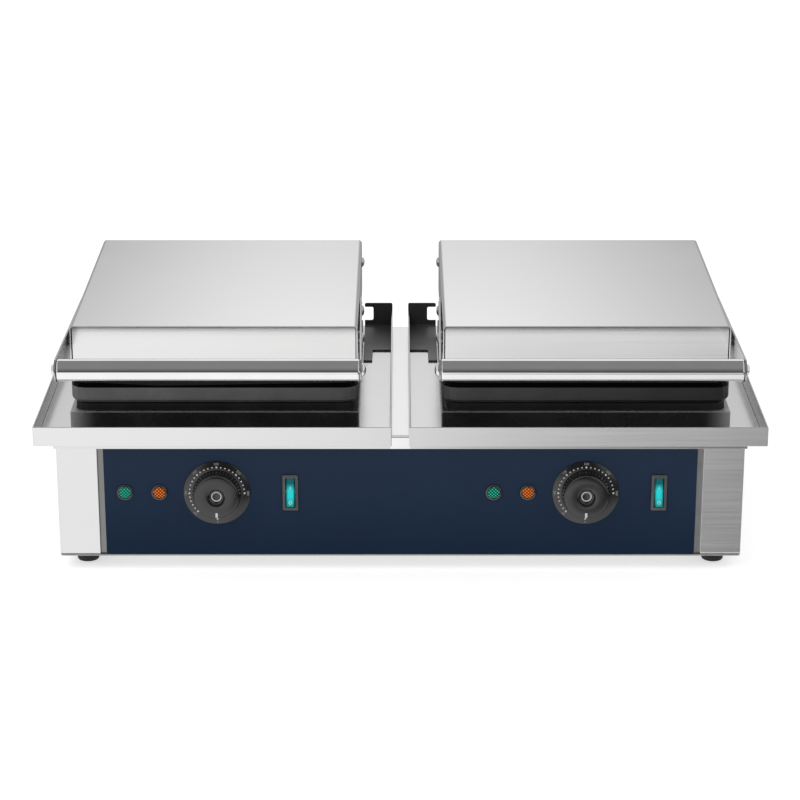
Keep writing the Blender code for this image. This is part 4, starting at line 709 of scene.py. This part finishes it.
def make_lid_bolts(unit, middle, half, high):
    """Dome-headed bolts on both sides of a lid, near its back."""
    shape = bmesh.new()
    for side in (-1, 1):
        place = (middle + side * half, high.y - 0.0300, high.z - 0.0130)
        add_dome_bolt(shape, place, side, LID_BOLT_HEIGHT)
    settle(from_bmesh(unit + "_lid_side_bolts", shape), "screw", unit + "_lid")


def add_dome_bolt(shape, place, side, height):
    """A dome head on a thin washer, facing left or right."""
    washer = BOLT_RADIUS * 1.25
    profile = [(0, -0.0002), (washer, -0.0002), (washer, 0.0004), (BOLT_RADIUS, WASHER)]
    profile += [(r, WASHER + z) for r, z in dome(BOLT_RADIUS, height)]
    turned(shape, profile, place, AXIS_TO_SIDE[side], 32)


def make_arms(unit):
    """Handle arms with smooth outlines, splayed a little, with a boss and bolts."""
    lid_low, lid_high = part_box(unit + "_lid_shell")
    handle = centre_of(unit + "_handle")
    for arm, side in (("lid_left_arm", -1), ("lid_right_arm", 1)):
        low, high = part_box(unit + "_" + arm)
        nose = handle.y - low.y
        tail = high.y
        inner = (lid_high.x if side > 0 else lid_low.x) + side * 0.0003
        splay = math.atan(ARM_STAND_OFF / (tail - handle.y))
        turn = Matrix.Rotation(side * splay, 3, "Z")
        corners = [(low.y - tail, handle.z - nose, nose), (0, handle.z - nose, 0.006),
                   (0, handle.z + nose, 0.006), (low.y - tail, handle.z + nose, nose)]
        shape = bmesh.new()
        prism(shape, rounded_path(corners, 16), (1, 2, 0), 0, side * ARM_SHEET)
        bmesh.ops.rotate(shape, verts=shape.verts, cent=(0, 0, 0), matrix=turn)
        bmesh.ops.translate(shape, verts=shape.verts, vec=(inner, tail, 0))
        plate = settle(from_bmesh(unit + "_" + arm + "_plate", shape), "arm", unit + "_lid", bevel=0.0004)
        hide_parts(unit + "_" + arm)
        hardware = bmesh.new()
        for y in (lid_low.y + 0.020, tail - 0.014):
            stand_off = (tail - y) * math.tan(splay)
            reach = stand_off + 0.0004
            boss = [(0, 0), (BOSS_RADIUS - 0.0004, 0), (BOSS_RADIUS, 0.0002)]
            boss += [(BOSS_RADIUS, reach), (0, reach)]
            turned(hardware, boss, (inner, y, handle.z), AXIS_TO_SIDE[side], 32)
            outer = inner + side * (stand_off + ARM_SHEET)
            add_dome_bolt(hardware, (outer, y, handle.z), side, ARM_BOLT_HEIGHT)
        settle(from_bmesh(unit + "_" + arm + "_bolts", hardware), "screw", unit + "_lid")


def make_handle(unit):
    """Chromed tube between the arms with its studs and domed nuts outside them."""
    low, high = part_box(unit + "_handle")
    middle = (low + high) / 2
    radius = (high.z - low.z) / 2
    half_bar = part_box(unit + "_lid_shell")[1].x - middle.x + ARM_STAND_OFF
    outer = half_bar + 0.0004 + ARM_SHEET
    nut = outer + 0.0009
    tip = high.x - middle.x
    edge = HANDLE_EDGE
    # Half a profile from the tip inwards: domed nut, its flange, the stud, then the bar's end
    half = [(r, nut + x) for r, x in reversed(dome(NUT_RADIUS, tip - nut))]
    half += [(0.0056, outer + 0.0008), (0.0056, outer + 0.0001), (0.0029, outer + 0.0001), (0.0029, half_bar)]
    half += [(radius - edge, half_bar), (radius - edge * 0.3, half_bar - edge * 0.3)]
    half += [(radius, half_bar - edge), (radius, half_bar - edge - HANDLE_END_RING)]
    profile = half + [(r, -z) for r, z in reversed(half)]
    shape = bmesh.new()
    turned(shape, profile, middle, "X", HANDLE_STEPS)
    bar = settle(from_bmesh(unit + "_handle_bar", shape), "chrome", unit + "_lid", angle=40)
    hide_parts(unit + "_handle")


def make_foot(node):
    """Rubber foot with a rounded base, a rib, and a screw in its recess."""
    middle = centre_of(node)
    place = (middle.x, middle.y, 0)
    profile = [(0, 0.006), (0.0035, 0.006), (0.0035, 0), (0.0082, 0), (0.0091, 0.0004), (0.0095, 0.0014),
               (0.0103, 0.0075), (0.0108, 0.0080), (0.0109, 0.0110), (0.0108, 0.0128), (0.0100, 0.0135),
               (0, 0.0135)]
    shape = bmesh.new()
    turned(shape, profile, place, "Z", 40)
    foot = settle(from_bmesh(node + "_rubber", shape), "rubber", "base")
    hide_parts(node)
    recess = bmesh.new()
    head = [(0, 0.0035), (0.0026, 0.0035), (0.0029, 0.0040), (0.0029, 0.0060), (0, 0.0060)]
    turned(recess, head, place, "Z", 24)
    settle(from_bmesh(node + "_screw", recess), "screw", "base")


def make_dial(unit):
    """The fixed disc behind the knob with its printed scale."""
    low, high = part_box(unit + "_dial_ring")
    middle = (low + high) / 2
    radius = (high.x - low.x) / 2
    thick = high.y - low.y
    rim = thick - DIAL_CONE_DROP
    profile = [(DIAL_BORE, thick), (DIAL_CONE_RADIUS, thick), (radius - DIAL_EDGE, rim),
               (radius - 0.0001, rim - 0.0002), (radius, rim - 0.0005), (radius, 0), (DIAL_BORE, 0)]
    slope = DIAL_CONE_DROP / (radius - DIAL_EDGE - DIAL_CONE_RADIUS)
    shape = bmesh.new()
    turned(shape, profile, (middle.x, high.y, middle.z), "-Y", 96, closed=True)
    disc = settle(from_bmesh(unit + "_dial_disc", shape), "dial", "base")
    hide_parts(unit + "_dial_ring")
    dots = bmesh.new()
    for number in [0] + list(range(5, 31)):
        size = DOT_SIZE if number % 5 else MAIN_DOT_SIZE
        depth = slope * (DIAL_DOT_RADIUS - DIAL_CONE_RADIUS)
        place = on_dial(middle, DIAL_DOT_RADIUS, -90 - number * 9, low.y + depth)
        turned(dots, [(size, -0.00012), (size, 0.00013), (0, 0.00014)], place, "-Y", 16)
    settle(from_bmesh(unit + "_dial_dots", dots), "white", "base")
    for number in range(7):
        angle = -90 - number * 45
        depth = slope * (DIAL_NUMBER_RADIUS - 0.0014 - DIAL_CONE_RADIUS)
        place = on_dial(middle, DIAL_NUMBER_RADIUS, angle, low.y + depth)
        lean = angle + 90 if number == 0 else angle - 90
        make_number(unit + "_dial_number_", str(number * 50), place, lean)


def on_dial(middle, radius, angle, y):
    """A place round a dial's axis, at an angle in degrees from its right."""
    turn = math.radians(angle)
    return Vector((middle.x + radius * math.cos(turn), y, middle.z + radius * math.sin(turn)))


def make_number(start_of_name, words, place, lean):
    """Flat printed characters that face the front, turned into a mesh."""
    name = start_of_name + words
    curve = bpy.data.curves.new(name, "FONT")
    curve.body = words
    curve.size = NUMBER_SIZE
    curve.align_x = "CENTER"
    curve.align_y = "CENTER"
    curve.extrude = 0.00020
    curve.resolution_u = 3
    text = bpy.data.objects.new(name + "_curve", curve)
    bpy.context.scene.collection.objects.link(text)
    text.rotation_euler = (math.radians(90), math.radians(-lean), 0)
    text.location = place
    bpy.context.view_layer.update()
    mesh = bpy.data.meshes.new_from_object(text.evaluated_get(bpy.context.evaluated_depsgraph_get()))
    mesh.transform(text.matrix_world)
    bpy.data.objects.remove(text)
    item = bpy.data.objects.new(name, mesh)
    bpy.context.scene.collection.objects.link(item)
    dress(item, "grey")
    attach(item, "base")


def make_knob(unit):
    """Temperature knob: drafted side, dished hub, thin printed ring and pointer."""
    low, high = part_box(unit + "_knob")
    body = unit + "_knob_and_shaft"
    middle = (low + high) / 2
    height = high.y - low.y
    face = height - 0.0006
    floor = face - KNOB_DISH
    shoulder = height - KNOB_CONE_DROP
    # From the middle of the dish over its edge and the cone, round the shoulder and back to the bore
    profile = [(0, floor), (0.0050, floor), (0.0058, floor + 0.0003), (0.0068, floor + 0.0015)]
    profile += [(0.0077, height - 0.0003), (KNOB_CONE_RADIUS, height), (KNOB_SHOULDER, shoulder)]
    arc = list(reversed(dome(KNOB_ROUNDING, KNOB_ROUNDING)))[1:]
    profile += [(KNOB_SHOULDER + 0.0002 + r, shoulder - KNOB_ROUNDING + y) for r, y in arc]
    bore = face - 0.0034
    profile += [(0.0208, 0.0014), (0.0210, 0.0008), (0.0208, 0), (0.0034, 0), (0.0034, bore), (0, bore)]
    shape = bmesh.new()
    place = (middle.x, high.y, middle.z)
    turned(shape, profile, place, "-Y", 96)
    knob = settle(from_bmesh(unit + "_knob_body", shape), "knob", body)
    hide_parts(unit + "_knob")
    ring = bmesh.new()
    base, top = floor - 0.0001, floor + 0.0002
    turned(ring, [(0.0036, base), (0.0036, top), (0.0044, top), (0.0044, base)], place, "-Y", 64, closed=True)
    settle(from_bmesh(unit + "_knob_ring", ring), "white", body)
    pointer = bmesh.new()
    pointer_z = middle.z - POINTER_TIP + POINTER_HALF_LENGTH
    path = rounded_box(middle.x, pointer_z, POINTER_HALF_WIDTH, POINTER_HALF_LENGTH, 0.0003, 3)
    prism(pointer, path, (0, 2, 1), low.y - 0.00003, low.y + 0.0012)
    slope = KNOB_CONE_DROP / (KNOB_SHOULDER - KNOB_CONE_RADIUS)
    for vert in pointer.verts:
        vert.co.y += slope * (middle.z - vert.co.z - KNOB_CONE_RADIUS) - 0.00025
    settle(from_bmesh(unit + "_knob_pointer", pointer), "white", body)


def make_lamp(unit, lamp, look):
    """Indicator lamp: dark bezel ring, faceted lens and the barrel behind the panel."""
    node = unit + "_" + lamp
    low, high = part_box(node)
    middle = (low + high) / 2
    panel_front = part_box("control_panel")[0].y
    outer = (high.x - low.x) / 2
    place = (middle.x, panel_front, middle.z)
    bezel = bmesh.new()
    inner = outer - LAMP_RING
    crown = LAMP_RING * 0.85
    ring = [(outer, -0.0001)] + [(outer - crown + r, 0.0003 + y) for r, y in dome(crown, 0.0015)]
    ring += [(inner, 0.0016), (inner, -0.0001)]
    turned(bezel, ring, place, "-Y", 64, closed=True)
    end = panel_front - high.y
    barrel = [(0, -0.0003), (0.0055, -0.0003), (0.0055, end + 0.004), (0.0048, end), (0, end)]
    turned(bezel, barrel, place, "-Y", 32)
    housing = settle(from_bmesh(node + "_bezel", bezel), "lamp_ring", "base")
    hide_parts(node)
    glass = bmesh.new()
    rim = inner - 0.0001
    profile = [(rim, 0.0)]
    for step in range(8):
        angle = math.radians(12 * step)
        profile.append((rim * math.cos(angle), 0.0008 + 0.0016 * math.sin(angle)))
    profile.append((0, 0.0024))
    turned(glass, profile, place, "-Y", 64)
    cap = settle(from_bmesh(node + "_lens", glass), look, "base")
    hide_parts(node)


def make_switch(unit):
    """Rocker switch without its rocker: rounded bezel, and the shell behind the panel."""
    node = unit + "_switch_body"
    low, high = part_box(node)
    middle = (low + high) / 2
    panel_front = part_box("control_panel")[0].y
    outer_w = (high.x - low.x) / 2
    outer_h = (high.z - low.z) / 2
    hole_w = ROCKER_HALF_WIDTH + 0.0008
    hole_h = ROCKER_HALF + 0.0009
    shape = bmesh.new()
    frame_loop(shape, middle, (outer_w, outer_h, 0.0012), (hole_w, hole_h, 0.0004),
               (low.y, low.y + 0.0004), panel_front - 0.0002)
    bezel = settle(from_bmesh(unit + "_switch_bezel", shape), "bezel", "base", bevel=0.0003)
    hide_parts(node)
    shell = bmesh.new()
    front = panel_front - 0.0003
    well = panel_front + SWITCH_WELL
    frame_loop(shell, middle, SWITCH_SHELL, (hole_w, hole_h, 0.0004), (front, front), well)
    prism(shell, rounded_box(middle.x, middle.z, *SWITCH_SHELL, 2), (0, 2, 1), well, high.y)
    back = settle(from_bmesh(unit + "_switch_shell", shell), "plastic", "base", bevel=0.0002)
    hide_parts(node)


def frame_loop(shape, middle, outer, inner, fronts, back):
    """A rounded rectangular frame round a hole. The fronts are those of its inner and outer edge."""
    outlines = [rounded_box(middle.x, middle.z, *size, 4) for size in (outer, inner)]

    def ring(outline, y):
        return [shape.verts.new((point[0], y, point[1])) for point in outline]

    outer_front, inner_front = ring(outlines[0], fronts[1]), ring(outlines[1], fronts[0])
    outer_back, inner_back = ring(outlines[0], back), ring(outlines[1], back)
    join_rings(shape, outer_front, inner_front)
    join_rings(shape, outer_back, outer_front)
    join_rings(shape, inner_front, inner_back)
    join_rings(shape, inner_back, outer_back)


def rocker_front(z):
    """How far forward the face of a rocker lies at a height from its middle, before its tilt."""
    return -0.0037 - ROCKER_HALF * math.tan(ROCKER_TILT) * (abs(z) / ROCKER_HALF) ** 1.25


def make_rocker(unit):
    """The rocker: two shallow curved halves, tilted about its pivot, with I and O."""
    joint = next(j for j in frame["joints"] if j["name"] == unit + "_rocker_tilt")
    pivot = Vector(joint["pos_m"])
    body = unit + "_rocker_switch"
    rise = ROCKER_HALF * math.tan(ROCKER_TILT)
    back = 0.0030
    steps = 20
    heights = [ROCKER_HALF - 2 * ROCKER_HALF * step / steps for step in range(steps + 1)]
    path = [(rocker_front(z), z) for z in heights]
    path += [(back - rise, -ROCKER_HALF + 0.0006), (back, 0), (back - rise, ROCKER_HALF - 0.0006)]
    turn = Matrix.Rotation(-ROCKER_TILT, 3, "X")
    shape = bmesh.new()
    prism(shape, path, (1, 2, 0), -ROCKER_HALF_WIDTH, ROCKER_HALF_WIDTH)
    for side in (-1, 1):
        turned(shape, [(0, -0.0002), (0.0010, -0.0002), (0.0010, 0.0012), (0, 0.0012)],
               (side * ROCKER_HALF_WIDTH, 0, 0), AXIS_TO_SIDE[side], 20)
    bmesh.ops.rotate(shape, verts=shape.verts, cent=(0, 0, 0), matrix=turn)
    bmesh.ops.translate(shape, verts=shape.verts, vec=pivot)
    rocker = settle(from_bmesh(unit + "_rocker_cap", shape), unit + "_teal", body, angle=30, bevel=0.0003)
    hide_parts(unit + "_rocker")
    stroke = rounded_box(0, 0, 0.00028, 0.0013, 0.0001, 2)
    marks = bmesh.new()
    add_rocker_mark(marks, stroke, None, 0.0040)
    circle = [Vector((math.cos(2 * math.pi * s / 32), math.sin(2 * math.pi * s / 32))) for s in range(32)]
    add_rocker_mark(marks, [p * 0.0015 for p in circle], [p * 0.0010 for p in circle], -0.0088)
    bmesh.ops.rotate(marks, verts=marks.verts, cent=(0, 0, 0), matrix=turn)
    bmesh.ops.translate(marks, verts=marks.verts, vec=pivot)
    settle(from_bmesh(unit + "_rocker_marks", marks), "white", body)


def add_rocker_mark(shape, outer, inner, height):
    """A thin print on the rocker's curved face, solid or with an inner outline."""
    loops = []
    for depth in (0.00006, -0.00012):
        for outline in (outer, inner):
            if outline is None:
                continue
            places = [(p[0], rocker_front(p[1] + height) - depth, p[1] + height) for p in outline]
            loops.append([shape.verts.new(place) for place in places])
    if inner is None:
        shape.faces.new(loops[0])
        shape.faces.new(list(reversed(loops[1])))
        rings = [(loops[0], loops[1])]
    else:
        rings = [(loops[0], loops[2]), (loops[3], loops[1]), (loops[1], loops[0]), (loops[2], loops[3])]
    for first, second in rings:
        join_rings(shape, first, second)


def add_screw(shape, place, axis):
    """A pan head with a dished centre."""
    radius, height = SCREW_RADIUS, SCREW_HEIGHT
    profile = [(0, height * 0.35), (radius * 0.35, height * 0.45), (radius * 0.42, height),
               (radius * 0.8, height * 0.85), (radius, height * 0.35), (radius, -0.0002), (0, -0.0002)]
    turned(shape, profile, place, axis, 28)


def make_back_screws():
    """Screws along the rear panel and the bottom plate."""
    low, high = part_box("rear_panel")
    shape = bmesh.new()
    for x in (-0.9, -0.45, 0, 0.45, 0.9):
        for z in (low.z + 0.006, high.z - 0.006):
            add_screw(shape, (x * high.x, high.y, z), "Y")
    settle(from_bmesh("rear_panel_screws", shape), "screw", "base")
    low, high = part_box("bottom_plate")
    shape = bmesh.new()
    for x in (-0.93, 0, 0.93):
        for y in (low.y + 0.010, high.y - 0.010):
            add_screw(shape, (x * high.x, y, low.z), "-Z")
    settle(from_bmesh("bottom_plate_screws", shape), "screw", "base")


def make_groove_shade_strips():
    """Dark steel strips on the wall behind the gaps beside the control panel: painted shade of the recessed
    gaps.
    """
    low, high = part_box("control_panel")
    for name, edge, side in (("left", low.x, -1), ("right", high.x, 1)):
        near = edge + side * 0.0001
        far = edge + side * GROOVE_WIDTH
        base, top = low.z - 0.0008, high.z - 0.0002
        path = [(near, base), (far, base), (far, top), (near, top)]
        shape = bmesh.new()
        prism(shape, path, (0, 2, 1), high.y - 0.0004, high.y + 0.0002)
        settle(from_bmesh(name + "_groove_shade_strip", shape), "groove_shade", "base", bevel=0.00015)


def make_hinge_screws(unit):
    """Hexagon heads that hold the hinge bracket to the tray."""
    low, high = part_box(unit + "_hinge_bracket")
    middle = (low.x + high.x) / 2
    shape = bmesh.new()
    for x in (-0.055, 0, 0.055):
        place = (middle + x, low.y + 0.0075, low.z + 0.0025)
        washer = [(0, -0.0001), (0.0048, -0.0001), (0.0048, 0.0006), (0, 0.0006)]
        hexagon = [(0, 0.0006), (0.0038, 0.0006), (0.0038, 0.0030), (0.0034, 0.0034), (0, 0.0034)]
        turned(shape, washer, place, "Z", 32)
        turned(shape, hexagon, place, "Z", 6)
    settle(from_bmesh(unit + "_hinge_bolts", shape), "screw", "base")


def make_floor():
    """A pale floor that keeps the shadow and shows white to the camera elsewhere."""
    shape = bmesh.new()
    bmesh.ops.create_grid(shape, x_segments=1, y_segments=1, size=6.0)
    floor = from_bmesh("floor", shape)
    floor.location.z = -0.0001
    n = Look("pale_floor")
    n.set(Base_Color=grey(0.80), Roughness=0.9, Specular_IOR_Level=0.0)
    camera_ray = n.add("ShaderNodeLightPath").outputs["Is Camera Ray"]
    glow = n.add("ShaderNodeEmission")
    n.fill(glow, {"Color": grey(1.0), "Strength": n.math("MULTIPLY", camera_ray, FLOOR_GLOW)})
    both = n.add("ShaderNodeAddShader")
    n.fill(both, {0: n.shader.outputs["BSDF"], 1: glow.outputs["Emission"]})
    n.fill(n.tree.nodes["Material Output"], {"Surface": both.outputs["Shader"]})
    floor.data.materials.append(n.material)
    floor.visible_glossy = False


def make_world():
    """White to the camera, plain light on the object, and a soft room in its reflections."""
    world = bpy.data.worlds.new("studio")
    bpy.context.scene.world = world
    world.use_nodes = True
    world.node_tree.nodes.clear()
    g = Graph(world.node_tree)
    split = g.add("ShaderNodeSeparateXYZ")
    g.fill(split, {"Vector": g.add("ShaderNodeTexCoord").outputs["Generated"]})
    x, y, z = (split.outputs[axis] for axis in "XYZ")
    sides = g.math("ABSOLUTE", g.math("ADD", x, ROOM_SHIFT))

    # Below the horizon in front: a floor that darkens to the right, most at shallow angles
    steep = g.ramp(x, -0.05, 0.22, 1.07, 0.82)
    shallow = g.ramp(x, -0.10, 0.14, 1.03, 0.15)
    floor = g.blend(g.ramp(z, -0.56, -0.36, 0.0, 1.0), steep, shallow)
    # The strip of it that the lids' fronts mirror
    lid_band = g.math("MULTIPLY", g.ramp(z, -0.332, -0.316, 0.0, 1.0), g.ramp(z, -0.255, -0.215, 1.0, 0.0))
    floor = g.blend(lid_band, floor, g.ramp(x, 0.14, 0.22, 1.12, 0.15))
    # The patch of it that the front edges mirror near the middle
    glint = g.math("MULTIPLY", g.ramp(sides, 0.020, 0.028, 1.0, 0.0), g.ramp(z, -0.370, -0.355, 0.0, 1.0))
    glint = g.math("MULTIPLY", glint, g.ramp(z, -0.338, -0.326, 1.0, 0.0))
    floor = g.blend(glint, floor, 1.06)
    # Behind, which the lids' tops mirror: bright, less so at the sides and low down
    back = g.math("MULTIPLY", g.ramp(sides, 0.0, 0.20, 1.0, 0.68), g.ramp(z, 0.235, 0.315, 0.60, 1.12))
    back = g.blend(g.ramp(z, 0.34, 0.60, 0.0, 1.0), back, 1.0)
    # Above in front: a dark room between lighter sides
    front = g.blend(g.ramp(sides, 0.20, 0.36, 0.0, 1.0), g.ramp(z, -0.05, 0.70, 0.09, 0.24), 0.72)
    upper = g.blend(g.ramp(y, 0.58, 0.70, 0.0, 1.0), front, back)
    lower = g.blend(g.ramp(y, -0.1, 0.3, 0.0, 1.0), floor, g.ramp(sides, 0.17, 0.34, 0.26, 0.80))
    mirrored = g.blend(g.ramp(z, -0.18, -0.08, 0.0, 1.0), lower, upper)

    path = g.add("ShaderNodeLightPath")
    strength = g.blend(path.outputs["Is Glossy Ray"], WORLD_LIGHT, mirrored)
    strength = g.blend(path.outputs["Is Camera Ray"], strength, 1.0)
    background = g.add("ShaderNodeBackground")
    g.fill(background, {"Color": grey(1.0), "Strength": strength})
    g.fill(g.add("ShaderNodeOutputWorld"), {"Surface": background.outputs["Background"]})


def make_lights():
    """One large soft key from the upper left and a weak fill from the right."""
    for name, place, size, power, turn in (
        ("key", (-1.3, -1.2, 1.9), 1.6, 16.0, (-0.1, 0.05, 0.1)),
        ("fill", (1.5, -1.0, 1.4), 1.8, 5.0, (0, 0, 0.1)),
    ):
        light = bpy.data.lights.new(name, "AREA")
        light.energy = power
        light.size = size
        lamp = bpy.data.objects.new(name, light)
        bpy.context.scene.collection.objects.link(lamp)
        lamp.location = place
        lamp.rotation_euler = (Vector(turn) - Vector(place)).to_track_quat("-Z", "Y").to_euler()
        lamp.visible_glossy = False


def make_camera():
    """The photograph's view."""
    data = bpy.data.cameras.new("camera")
    data.lens = CAMERA_LENS
    data.sensor_width = SENSOR_WIDTH
    data.clip_end = 50
    camera = bpy.data.objects.new("camera", data)
    bpy.context.scene.collection.objects.link(camera)
    tray_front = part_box("left_tray")[0].y
    camera.location = (CAMERA_X, tray_front - CAMERA_BEFORE_TRAYS, CAMERA_HEIGHT)
    camera.rotation_euler = (CAMERA_TILT, 0, 0)
    bpy.context.scene.camera = camera


make_camera()
make_world()
make_lights()
make_floor()
dress_kept_nodes()
for unit in UNIT_NAMES:
    make_lid(unit)
    make_arms(unit)
    make_handle(unit)
    make_dial(unit)
    make_knob(unit)
    make_lamp(unit, "power_lamp", "green")
    make_lamp(unit, "heating_lamp", "orange")
    make_switch(unit)
    make_rocker(unit)
    make_hinge_screws(unit)
for end in ("front", "rear"):
    for side_name in UNIT_NAMES:
        make_foot(end + "_" + side_name + "_foot")
make_back_screws()
make_groove_shade_strips()
bpy.context.scene.view_settings.view_transform = "Standard"
